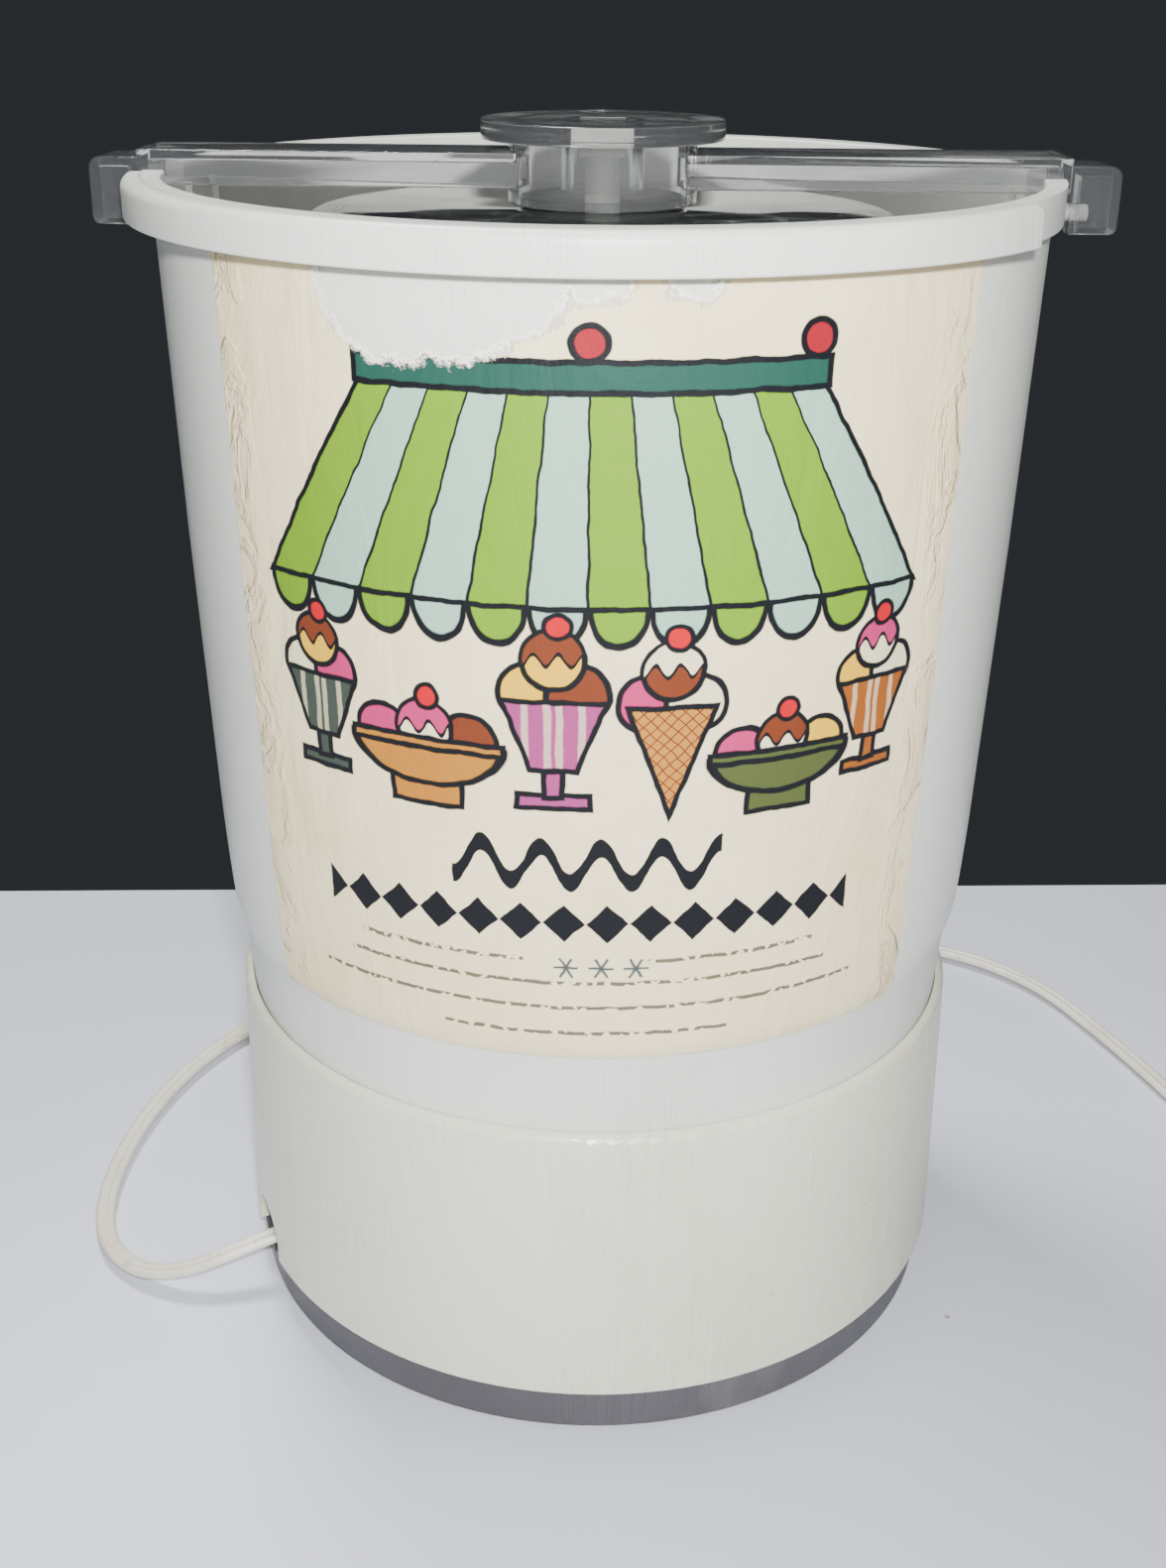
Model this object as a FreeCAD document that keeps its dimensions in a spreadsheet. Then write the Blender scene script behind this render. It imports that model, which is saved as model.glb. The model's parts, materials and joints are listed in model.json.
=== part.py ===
"""Electric ice cream maker: motor base, ice bucket, spinning can, fixed dasher and lock bar.

Millimetres. The origin is on the standing surface under the middle of the base, +Z is up, the
lock bar lies along X and the label faces -Y.
"""
import FreeCAD, Part
import math
import os
import Sketcher
from FreeCAD import Placement, Rotation, Vector

DIMENSIONS = {
    # base
    "plate_bottom": 1.5, "plate_top": 4.5, "plate_foot_radius": 108.9, "plate_rim_radius": 110.4,
    "plate_rim_top": 15.3, "tongue_radius": 108.3, "tongue_inner": 106.0, "tongue_top": 20.0,
    "shell_bottom": 15.5, "shell_foot_radius": 111.8, "shell_top_radius": 110.6, "shell_wall": 2.8,
    "lip_top": 101.8, "lip_inner_radius": 107.9, "lip_round": 2.4,
    "deck_top": 96.0, "deck_underside": 93.0, "deck_hole_radius": 8.0,
    "notch_angle": 204.0, "notch_radius": 11.8, "notch_cut_bottom": 12.0,
    "post_circle": 94.0, "post_radius": 4.5, "screw_radius": 1.4, "screw_depth": 12.0,
    "screw_head_radius": 3.6, "screw_head_recess": 3.8, "screw_head_top": 3.2,
    "foot_circle": 88.0, "foot_radius": 9.0, "foot_stem_radius": 2.8, "foot_stem_top": 6.0,
    "overcut": 1.0, "root": 0.5, "tab_top": 34.0, "tab_sweep": 17.0, "tab_hole_radius": 5.8,
    "notch_centre": 18.2,
    "vent_inner": 40.0, "vent_length": 26.0, "vent_width": 3.0, "vent_count": 12,
    # bucket
    "skirt_bottom": 96.3, "skirt_radius": 107.2, "crease_height": 124.7, "crease_radius": 109.2,
    "cone_foot_height": 148.0, "cone_foot_radius": 113.0, "cone_top_radius": 119.2,
    "rim_top": 337.3, "rim_thickness": 2.6, "stub_radius": 122.2, "bucket_wall": 2.6,
    "band_radius": 127.0, "band_bottom": 327.4, "band_start": 8.0, "band_sweep": 137.3,
    "knee_height": 130.0, "knee_radius": 111.5, "waist_height": 243.0, "waist_radius": 116.7,
    "collar_underside": 327.0, "bar_notch_half_width": 12.4, "bar_notch_floor": 333.2,
    "bucket_floor_top": 128.0, "bucket_floor_underside": 125.0,
    "boss_radius": 11.0, "boss_bottom": 112.0, "bush_radius": 7.5,
    "peg_height": 327.5, "peg_radius": 2.3, "peg_root": 118.0, "peg_tip": 130.6,
    "rib_near_angle": 9.5, "rib_middle_angle": 164.5, "rib_far_angle": 174.0,
    "rib_width_angle": 1.0, "rib_depth": 2.0, "rib_top": 332.0,
    "label_bottom": 126.3, "label_top": 326.7, "label_thickness": 0.3, "label_gap": 0.05,
    "label_sweep": 98.6, "label_middle": 270.0,
    # drive spindle in the bucket
    "spindle_radius": 5.0, "spindle_bottom": 106.8, "spindle_square": 7.0, "square_bottom": 131.5,
    "spindle_top": 139.0, "running_gap": 0.05, "bush_bottom": 112.6, "seal_radius": 9.0,
    "seal_top": 131.0, "clip_radius": 8.0, "clip_bottom": 111.0, "clip_thickness": 1.2,
    "coupler_radius": 13.0, "coupler_bottom": 97.0, "coupler_top": 102.0, "tongue_width": 4.0,
    "tongue_length": 18.0, "tongue_rise": 4.0, "coupler_play": 0.4, "driven_top": 109.0,
    # can, lid and dasher
    "can_bottom": 140.0, "can_sheet": 1.0, "can_foot_radius": 74.0, "can_top_radius": 76.0,
    "can_top": 324.4, "can_bead_radius": 77.4, "can_bead_bottom": 322.4, "can_heel": 6.0,
    "heel_share": 0.4,
    "socket_radius": 15.0, "socket_bottom": 132.5, "socket_hole_top": 139.6, "socket_play": 0.35,
    "pivot_radius": 3.5, "pivot_top": 151.0, "pivot_flange_radius": 10.0, "pivot_flange": 1.5,
    "lid_hole_radius": 8.9, "lid_underside": 324.7, "lid_top": 326.6, "lid_radius": 79.4,
    "lid_wall": 1.7, "lid_skirt_bottom": 318.0, "lid_ring_radius": 74.3, "lid_ring_bottom": 320.0,
    "collar_radius": 22.4, "collar_wall": 2.2,
    "collar_top": 331.0,
    "stem_radius": 4.8, "dasher_bottom": 143.0, "stem_top": 341.0, "head_width": 11.6,
    "head_top": 349.0, "dasher_hub_radius": 9.0, "dasher_hub_top": 156.0, "dasher_bore": 3.9,
    "dasher_bore_top": 152.0, "arm_half_width": 3.0, "arm_thickness": 4.5, "arm_reach": 69.5,
    "arm_count": 3, "arm_first": 146.0, "arm_pitch": 76.0, "side_bar_width": 5.0,
    "blade_tip": 73.0, "blade_half_width": 1.0, "blade_bottom": 148.0, "blade_top": 300.0,
    # lock bar
    "bar_half_length": 123.3, "bar_half_width": 12.0, "bar_bottom": 333.4, "bar_top": 342.3,
    "bar_wall": 2.4, "neck_bottom": 334.5, "neck_top": 340.1, "neck_half_width": 9.0,
    "hook_inner": 124.4, "hook_outer": 137.2, "hook_bottom": 322.8,
    "hook_wall": 2.4, "hook_slot_half_width": 2.75, "hook_slot_top": 330.5, "hook_hollow_top": 337.7,
    "hub_radius": 25.5, "hub_bottom": 329.0, "hub_wall": 2.2, "disc_bottom": 345.4, "disc_top": 350.3,
    "disc_radius": 32.8, "tube_radius": 11.2, "tube_bore": 9.2, "tube_bottom": 332.0,
    "head_pocket": 12.2,
    # gear train
    "pressure_angle": 25.0, "addendum": 0.8, "root_clearance": 0.25, "backlash": 0.12,
    "first_module": 0.8, "first_pinion_teeth": 10, "first_gear_teeth": 40,
    "second_module": 1.0, "second_pinion_teeth": 12, "second_gear_teeth": 48,
    "third_module": 1.5, "third_pinion_teeth": 12, "third_gear_teeth": 36,
    "second_axle_angle": 135.0, "first_axle_angle": 235.0, "motor_angle": 250.0,
    "level_one": 69.0, "level_two": 75.5, "level_three": 82.0, "thin_face": 5.0, "wide_face": 7.0,
    "first_pin_radius": 2.0, "second_pin_radius": 3.0, "gear_gap": 0.5,
    # gearbox case
    "case_left": -64.0, "case_right": 33.0, "case_front": -33.0, "case_back": 55.0,
    "case_bottom": 65.0, "case_floor": 2.0, "case_wall": 2.5, "cover_bottom": 89.5,
    "cover_top": 92.0, "case_boss_radius": 4.5, "case_screw_radius": 1.7, "case_screw_top": 95.0,
    "case_screw_head_height": 2.0,
    "shaft_bush_radius": 8.0, "lower_bush_top": 76.0, "bush_seat_radius": 10.5,
    # motor
    "stack_bottom": 32.0, "stack_top": 52.0, "stack_back": 22.0, "stack_front": 44.0,
    "stack_half_width": 24.0, "bore_radius": 13.4, "window_start": 17.0, "window_end": 32.0,
    "window_half_width": 13.0, "coil_start": 26.0, "coil_end": 50.0, "coil_half_width": 12.4,
    "coil_bottom": 24.0, "coil_top": 60.0, "rotor_radius": 12.8, "rotor_overhang": 1.0,
    "motor_shaft_radius": 2.5, "motor_shaft_bottom": 11.0, "bracket_width": 14.0,
    "bracket_sheet": 3.0, "bracket_leg": 3.0, "bracket_leg_length": 7.0, "bracket_hub_radius": 8.0,
    "bracket_hub_height": 7.0, "motor_bush_radius": 5.0, "motor_screw_offset": 20.0,
    "motor_screw_radius": 1.9, "motor_screw_head": 3.6, "motor_screw_head_height": 2.5,
    "pole_cut_near": 6.0, "pole_cut_far": 12.0, "fan_bottom": 12.0, "fan_height": 7.0,
    "fan_radius": 20.0, "fan_hub_radius": 6.0, "fan_blades": 6, "fan_blade_thickness": 1.2,
    # electrical
    "cutout_length": 16.0, "cutout_width": 8.0, "cutout_height": 5.0,
    "cutout_lift": 10.0, "nut_x": -20.0, "nut_y": -62.0, "nut_spacing": 16.0,
    "nut_radius": 4.0, "nut_height": 15.0, "nut_tip_radius": 2.2,
    "cord_width": 6.4, "cord_total": 1800.0, "exit_height": 17.0, "exit_radius": 107.0,
    "relief_length": 24.0, "relief_root": 5.6, "relief_tip": 3.9,
    "coil_x": 264.0, "coil_y": 16.0, "coil_outer_radius": 38.2, "coil_inner_radius": 25.2,
    "coil_lift": 1.0, "coil_height": 10.4, "tie_width": 7.0, "tie_sheet": 0.9, "tie_play": 0.2,
    "plug_length": 30.0, "plug_width": 22.0, "plug_height": 15.0, "plug_neck": 8.0,
    "plug_mouth": 3.8, "plug_shoulder": 6.0,
    "blade_length": 17.5, "plug_blade_width": 6.3, "plug_blade_sheet": 1.5, "blade_spacing": 12.7,
}

CORD_ROUTE = [
    (-97.7, -43.5, 17.0), (-111.6, -49.7, 14.2), (-126.4, -53.4, 9.0), (-143.1, -50.1, 4.6),
    (-156.6, -39.7, 3.3), (-164.4, -24.0, 3.3), (-167.9, -4.0, 3.3), (-166.6, 20.0, 3.3),
    (-161.8, 48.0, 3.3), (-152.2, 78.0, 3.3), (-134.0, 107.0, 3.3), (-107.0, 133.0, 3.3),
    (-72.0, 154.0, 3.3), (-33.0, 171.0, 3.3), (10.0, 183.5, 3.3), (55.0, 190.5, 3.3),
    (98.0, 189.0, 3.3), (134.0, 181.0, 3.3), (163.0, 166.5, 3.3), (183.5, 144.5, 3.3),
    (197.6, 115.2, 3.3), (209.8, 85.0, 3.3), (220.0, 55.0, 3.3), (226.4, 33.0, 3.3),
    (229.4, 13.0, 4.2),
]
TAIL_ROUTE = [(229.6, 4.0, 8.0), (229.8, -12.0, 7.9), (232.0, -29.0, 7.7), (236.5, -45.0, 7.5)]
RUN_SHARE = 0.45
FULL_TURN = 360.0
HALF_PITCH = 0.5
NEARLY_ONE = 0.9
TOLERANCE = 1e-3
PLACES = 7

doc = FreeCAD.newDocument("ice_cream_maker")
sheet = doc.addObject("Spreadsheet::Sheet", "size")
for row, (alias, number) in enumerate(DIMENSIONS.items(), start=1):
    sheet.set(f"A{row}", alias)
    sheet.set(f"B{row}", str(number))
    sheet.setAlias(f"B{row}", alias)
doc.recompute()

nodes = []


def size(alias):
    """The value that the sheet holds under this alias."""
    return float(getattr(sheet, alias))


def value(formula):
    """What a formula over the sheet comes to."""
    result = sheet.evalExpression(formula)
    return float(getattr(result, "Value", result))


def node(item, label):
    """Make an object a sub-part of its own, under the name of its file."""
    item.Label = label
    nodes.append(item)
    return item


# ---------------------------------------------------------------- primitives and booleans

def primitive(kind, at=("0", "0", "0"), **sizes):
    """A Part primitive whose sizes and place are formulas over the sheet."""
    item = doc.addObject(f"Part::{kind}", kind.lower())
    for name, formula in sizes.items():
        item.setExpression(name, formula)
    for axis, formula in zip("xyz", at):
        item.setExpression(f".Placement.Base.{axis}", formula)
    return item


def cylinder(radius, bottom, top, x="0", y="0"):
    """An upright cylinder between two heights."""
    return primitive("Cylinder", (x, y, bottom), Radius=radius, Height=f"({top}) - ({bottom})")


def block(left, right, front, back, bottom, top):
    """A box given by its six faces."""
    return primitive("Box", (left, front, bottom), Length=f"({right}) - ({left})",
                     Width=f"({back}) - ({front})", Height=f"({top}) - ({bottom})")


def fuse(*items):
    """One solid from overlapping or touching ones."""
    joined = doc.addObject("Part::MultiFuse", "fuse")
    joined.Shapes = list(items)
    joined.Refine = True
    return joined


def cut(base, *tools):
    """Take one or more tools out of a base."""
    trimmed = doc.addObject("Part::Cut", "cut")
    trimmed.Base = base
    trimmed.Tool = tools[0] if len(tools) == 1 else fuse(*tools)
    return trimmed


def tube(outer, inner, bottom, top, x="0", y="0"):
    """A plain ring or sleeve."""
    return cut(cylinder(outer, bottom, top, x, y), cylinder(inner, bottom, top, x, y))


def group(*items):
    """Several separate solids that share one node."""
    compound = doc.addObject("Part::Compound", "group")
    compound.Links = list(items)
    return compound


def ring_places(radius, count, start=0.0):
    """Formulas for the x and y of places spread evenly round a circle."""
    step = FULL_TURN / count
    for index in range(count):
        angle = start + index * step
        yield f"{radius} * cos({angle})", f"{radius} * sin({angle})"


# ---------------------------------------------------------------- bodies and sketches

def new_body(name):
    """An empty PartDesign body."""
    return doc.addObject("PartDesign::Body", name)


def plane_of(body, role):
    """One of the body's own origin planes or axes."""
    return next(item for item in body.Origin.OriginFeatures if item.Role == role)


def new_sketch(body, plane, lift="0", spin=0.0):
    """A sketch on an origin plane, moved along the plane's normal or spun about its own y."""
    sketch = body.newObject("Sketcher::SketchObject", "sketch")
    sketch.AttachmentSupport = (plane_of(body, plane), [""])
    sketch.MapMode = "FlatFace"
    sketch.AttachmentOffset = Placement(Vector(), Rotation(Vector(0, 1, 0), spin))
    sketch.setExpression(".AttachmentOffset.Base.z", lift)
    return sketch


def pin_point(sketch, index, position, axis, formula):
    """Hold a point at a formula's distance from the origin along one axis."""
    if abs(value(formula)) < TOLERANCE:
        on_axis = -2 if axis == "X" else -1
        sketch.addConstraint(Sketcher.Constraint("PointOnObject", index, position, on_axis))
        return
    number = sketch.addConstraint(
        Sketcher.Constraint(f"Distance{axis}", -1, 1, index, position, value(formula)))
    sketch.setExpression(f"Constraints[{number}]", formula)


def outline(sketch, corners):
    """A closed outline of straight lines whose corners are pairs of formulas."""
    points = [Vector(value(x), value(y), 0) for x, y in corners]
    following = points[1:] + points[:1]
    first = sketch.GeometryCount
    for start, end in zip(points, following):
        sketch.addGeometry(Part.LineSegment(start, end))
    for index in range(len(points)):
        after = first + (index + 1) % len(points)
        sketch.addConstraint(Sketcher.Constraint("Coincident", first + index, 2, after, 1))
    for index, (x, y) in enumerate(corners):
        pin_point(sketch, first + index, 1, "X", x)
        pin_point(sketch, first + index, 1, "Y", y)


def circle(sketch, x, y, radius):
    """A circle whose centre and radius are formulas."""
    centre = Vector(value(x), value(y), 0)
    index = sketch.addGeometry(Part.Circle(centre, Vector(0, 0, 1), value(radius)))
    pin_point(sketch, index, 3, "X", x)
    pin_point(sketch, index, 3, "Y", y)
    number = sketch.addConstraint(Sketcher.Constraint("Radius", index, value(radius)))
    sketch.setExpression(f"Constraints[{number}]", radius)


def rectangle(sketch, left, right, low, high):
    """A rectangle given by its four sides."""
    outline(sketch, [(left, low), (right, low), (right, high), (left, high)])


def feature(body, kind, sketch, **settings):
    """A PartDesign feature made from a sketch."""
    item = body.newObject(f"PartDesign::{kind}", kind.lower())
    item.Profile = (sketch, [""])
    for name, setting in settings.items():
        if isinstance(setting, str) and name in ("Length", "Angle"):
            item.setExpression(name, setting)
        else:
            setattr(item, name, setting)
    doc.recompute()
    return item


def revolve(body, corners, angle=None, spin=0.0, midplane=False):
    """Turn an outline in radius and height about the upright axis."""
    sketch = new_sketch(body, "XZ_Plane", spin=spin)
    outline(sketch, corners)
    turned = feature(body, "Revolution", sketch, ReferenceAxis=(sketch, ["V_Axis"]),
                     Angle=angle or str(FULL_TURN), Midplane=midplane)
    return turned


def polar(body, original, count):
    """Repeat a feature evenly round the upright axis."""
    pattern = body.newObject("PartDesign::PolarPattern", "pattern")
    pattern.Originals = [original]
    pattern.Axis = (plane_of(body, "Z_Axis"), [""])
    pattern.Angle = FULL_TURN
    pattern.Occurrences = int(count)
    body.Tip = pattern
    doc.recompute()
    return pattern


def pocket(body, sketch, length=None, **settings):
    """Cut a sketch's outline away, and make sure that something was cut."""
    before = body.Shape.Volume
    kind = {"Type": "ThroughAll"} if length is None else {"Length": length}
    item = feature(body, "Pocket", sketch, **kind, **settings)
    if body.Shape.Volume > before - TOLERANCE:
        raise RuntimeError(f"the pocket in {body.Label} removes nothing")
    return item


def pocket_outward(body, sketch, angle):
    """Cut a YZ-plane outline from the upright axis outwards, in the direction of an angle about it."""
    sketch.AttachmentOffset = Placement(Vector(), Rotation(Vector(0, 1, 0), value(angle)))
    return pocket(body, sketch, Reversed=True)


def round_edge(body, base, radius, edge_radius, edge_height):
    """Fillet the circular edge of the given radius and height."""
    names = []
    for number, edge in enumerate(base.Shape.Edges, start=1):
        curve = edge.Curve
        if not isinstance(curve, Part.Circle):
            continue
        same_radius = abs(curve.Radius - value(edge_radius)) < TOLERANCE
        if same_radius and abs(curve.Center.z - value(edge_height)) < TOLERANCE:
            names.append(f"Edge{number}")
    if not names:
        raise RuntimeError(f"{body.Label} has no edge to round there")
    fillet = body.newObject("PartDesign::Fillet", "fillet")
    fillet.Base = (base, names)
    fillet.setExpression("Radius", radius)
    doc.recompute()
    return fillet


# ---------------------------------------------------------------- base

def base_plate():
    """The dark tray that closes the base, with a tongue inside the shell."""
    body = new_body("base_plate")
    revolve(body, [
        ("0", "size.plate_bottom"), ("size.plate_foot_radius", "size.plate_bottom"),
        ("size.plate_rim_radius", "size.plate_rim_top"), ("size.tongue_radius", "size.plate_rim_top"),
        ("size.tongue_radius", "size.tongue_top"), ("size.tongue_inner", "size.tongue_top"),
        ("size.tongue_inner", "size.plate_top"), ("0", "size.plate_top")])
    revolve(body, [
        ("size.tongue_inner", "size.plate_top - size.overcut"),
        ("size.tongue_radius", "size.plate_top - size.overcut"),
        ("size.tongue_radius", "size.tab_top"), ("size.tongue_inner", "size.tab_top")],
        angle="size.tab_sweep", spin=size("notch_angle") - size("tab_sweep") / 2)
    cord_hole = new_sketch(body, "YZ_Plane")
    circle(cord_hole, "0", "size.exit_height", "size.tab_hole_radius")
    pocket_outward(body, cord_hole, "size.notch_angle")
    for x, y in ring_places("size.post_circle", 4, 45.0):
        recess = new_sketch(body, "XY_Plane")
        circle(recess, x, y, "size.screw_head_recess")
        pocket(body, recess, "size.screw_head_top", Reversed=True)
        hole = new_sketch(body, "XY_Plane")
        circle(hole, x, y, "size.screw_radius")
        pocket(body, hole, Reversed=True)
    for x, y in ring_places("size.foot_circle", 4):
        socket = new_sketch(body, "XY_Plane")
        circle(socket, x, y, "size.foot_stem_radius")
        pocket(body, socket, Reversed=True)
    vent = new_sketch(body, "XY_Plane")
    rectangle(vent, "size.vent_inner", "size.vent_inner + size.vent_length",
              "-size.vent_width / 2", "size.vent_width / 2")
    slot = pocket(body, vent, Reversed=True)
    polar(body, slot, size("vent_count"))
    return node(body, "base_plate")


def base_shell():
    """The cylindrical motor housing with its deck, lip, screw posts and arched cord notch."""
    body = new_body("base_shell")
    turned = revolve(body, [
        ("size.shell_foot_radius", "size.shell_bottom"), ("size.shell_top_radius", "size.lip_top"),
        ("size.lip_inner_radius", "size.lip_top"), ("size.lip_inner_radius", "size.deck_top"),
        ("size.deck_hole_radius", "size.deck_top"), ("size.deck_hole_radius", "size.deck_underside"),
        ("size.shell_top_radius - size.shell_wall", "size.deck_underside"),
        ("size.shell_foot_radius - size.shell_wall", "size.shell_bottom")])
    round_edge(body, turned, "size.lip_round", "size.shell_top_radius", "size.lip_top")
    for x, y in ring_places("size.post_circle", 4, 45.0):
        post = new_sketch(body, "XY_Plane", lift="size.plate_top")
        circle(post, x, y, "size.post_radius")
        circle(post, x, y, "size.screw_radius")
        feature(body, "Pad", post, Length="size.deck_underside - size.plate_top + size.root")
    arch = new_sketch(body, "YZ_Plane")
    circle(arch, "0", "size.notch_centre", "size.notch_radius")
    pocket_outward(body, arch, "size.notch_angle")
    foot = new_sketch(body, "YZ_Plane")
    rectangle(foot, "-size.notch_radius", "size.notch_radius", "size.shell_bottom - size.overcut",
              "size.notch_centre")
    pocket_outward(body, foot, "size.notch_angle")
    return node(body, "base_shell")


def base_fittings():
    """Rubber feet and the screws that hold the plate to the shell's posts."""
    feet = []
    for x, y in ring_places("size.foot_circle", 4):
        pad = cylinder("size.foot_radius", "0", "size.plate_bottom", x, y)
        stem = cylinder("size.foot_stem_radius", "size.plate_bottom", "size.foot_stem_top", x, y)
        feet.append(fuse(pad, stem))
    node(group(*feet), "rubber_feet")
    screws = []
    for x, y in ring_places("size.post_circle", 4, 45.0):
        head = cylinder("size.screw_head_radius", "size.plate_bottom", "size.screw_head_top", x, y)
        shank = cylinder("size.screw_radius", "size.screw_head_top",
                         "size.screw_head_top + size.screw_depth", x, y)
        screws.append(fuse(head, shank))
    node(group(*screws), "plate_screws")


# ---------------------------------------------------------------- gear train

def polar_point(radius, angle):
    """A point in the plane, from its radius and its angle in radians."""
    return Vector(radius * math.cos(angle), radius * math.sin(angle), 0)


def gear_centres():
    """Where the output, both idler axles and the motor stand, from the gears' sizes."""
    reach = {
        "second": size("third_module") * (size("third_pinion_teeth") + size("third_gear_teeth")) / 2,
        "first": size("second_module") * (size("second_pinion_teeth") + size("second_gear_teeth")) / 2,
        "motor": size("first_module") * (size("first_pinion_teeth") + size("first_gear_teeth")) / 2,
    }
    centres = {"output": Vector(0, 0, 0)}
    place = centres["output"]
    for name, angle in (("second", "second_axle_angle"), ("first", "first_axle_angle"),
                        ("motor", "motor_angle")):
        place = place + polar_point(reach[name], math.radians(size(angle)))
        centres[name] = place
    return centres


def involute_angle(radius, base_radius):
    """How far an involute has turned by the time it reaches a radius."""
    if radius <= base_radius:
        return 0.0
    pressure = math.acos(base_radius / radius)
    return math.tan(pressure) - pressure


def gear_solid(teeth, module, bottom, face, phase):
    """A spur gear with involute flanks; phase turns the middle of its first tooth, in radians."""
    pitch_radius = module * teeth / 2
    tip_radius = pitch_radius + size("addendum") * module
    root_radius = pitch_radius - (size("addendum") + size("root_clearance")) * module
    pressure = math.radians(size("pressure_angle"))
    base_radius = pitch_radius * math.cos(pressure)
    half_tooth = math.pi / (2 * teeth) - size("backlash") * module / (4 * pitch_radius)
    base_half = half_tooth + involute_angle(pitch_radius, base_radius)
    start_radius = max(root_radius, base_radius)
    middle_radius = (start_radius + tip_radius) / 2

    def flank_angle(radius):
        return base_half - involute_angle(radius, base_radius)

    edges = []
    step = 2 * math.pi / teeth
    for index in range(int(teeth)):
        centre = phase + index * step
        foot = flank_angle(start_radius)
        low = [polar_point(root_radius, centre + side * foot) for side in (-1, 1)]
        start = [polar_point(start_radius, centre + side * foot) for side in (-1, 1)]
        middle = [polar_point(middle_radius, centre + side * flank_angle(middle_radius)) for side in (-1, 1)]
        tip = [polar_point(tip_radius, centre + side * flank_angle(tip_radius)) for side in (-1, 1)]
        if start_radius > root_radius:
            edges.append(Part.LineSegment(low[0], start[0]).toShape())
        edges.append(Part.Arc(start[0], middle[0], tip[0]).toShape())
        edges.append(Part.Arc(tip[0], polar_point(tip_radius, centre), tip[1]).toShape())
        edges.append(Part.Arc(tip[1], middle[1], start[1]).toShape())
        if start_radius > root_radius:
            edges.append(Part.LineSegment(start[1], low[1]).toShape())
        next_low = polar_point(root_radius, centre + step - foot)
        gap_middle = polar_point(root_radius, centre + step / 2)
        edges.append(Part.Arc(low[1], gap_middle, next_low).toShape())
    face_shape = Part.Face(Part.Wire(edges))
    return face_shape.extrude(Vector(0, 0, face)).translated(Vector(0, 0, bottom))


def round_bar(radius, bottom, top):
    """A plain upright cylinder as a shape."""
    return Part.makeCylinder(radius, top - bottom, Vector(0, 0, bottom))


def placed_shape(label, shape, place):
    """A sub-part whose shape is set directly, then put in its place."""
    item = doc.addObject("Part::Feature", label)
    item.Shape = shape
    item.Placement = Placement(place, Rotation())
    return node(item, label)


def mesh_phase(driver_teeth, driver_phase, driven_teeth, angle):
    """The phase that puts a driven gear in mesh, seen from the driver along an angle."""
    driver_offset = (angle - driver_phase) * driver_teeth / (2 * math.pi)
    driven_offset = HALF_PITCH - driver_offset
    return angle + math.pi - driven_offset * 2 * math.pi / driven_teeth


def gear_train():
    """Motor pinion, two compound idlers and the output gear, each in mesh with the next."""
    centres = gear_centres()
    motor_to_first = math.radians(size("motor_angle")) - math.pi
    first_to_second = math.radians(size("first_axle_angle")) - math.pi
    second_to_output = math.radians(size("second_axle_angle")) - math.pi
    gap = size("running_gap")
    faces = size("thin_face"), size("wide_face")

    pinion = gear_solid(size("first_pinion_teeth"), size("first_module"), size("level_one"), faces[0], 0)
    pinion = pinion.cut(round_bar(size("motor_shaft_radius"), 0, size("deck_top")))
    placed_shape("motor_pinion", pinion, centres["motor"])

    wheel_phase = mesh_phase(size("first_pinion_teeth"), 0, size("first_gear_teeth"), motor_to_first)
    wheel = gear_solid(size("first_gear_teeth"), size("first_module"), size("level_one"), faces[0],
                       wheel_phase)
    spur = gear_solid(size("second_pinion_teeth"), size("second_module"),
                      size("level_one") + faces[0], size("level_two") - size("level_one"), 0)
    bore = round_bar(size("first_pin_radius") + gap, 0, size("deck_top"))
    placed_shape("first_reduction_gear", wheel.fuse(spur).cut(bore), centres["first"])

    wheel_phase = mesh_phase(size("second_pinion_teeth"), 0, size("second_gear_teeth"), first_to_second)
    wheel = gear_solid(size("second_gear_teeth"), size("second_module"), size("level_two"), faces[0],
                       wheel_phase)
    spur = gear_solid(size("third_pinion_teeth"), size("third_module"),
                      size("level_two") + faces[0], size("cover_bottom") - size("gear_gap")
                      - size("level_two") - faces[0], 0)
    bore = round_bar(size("second_pin_radius") + gap, 0, size("deck_top"))
    placed_shape("second_reduction_gear", wheel.fuse(spur).cut(bore), centres["second"])

    output_phase = mesh_phase(size("third_pinion_teeth"), 0, size("third_gear_teeth"), second_to_output)
    output = gear_solid(size("third_gear_teeth"), size("third_module"), size("level_three"), faces[1],
                        output_phase)
    output = output.cut(round_bar(size("spindle_radius"), 0, size("deck_top")))
    placed_shape("output_gear", output, centres["output"])
    return centres


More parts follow.
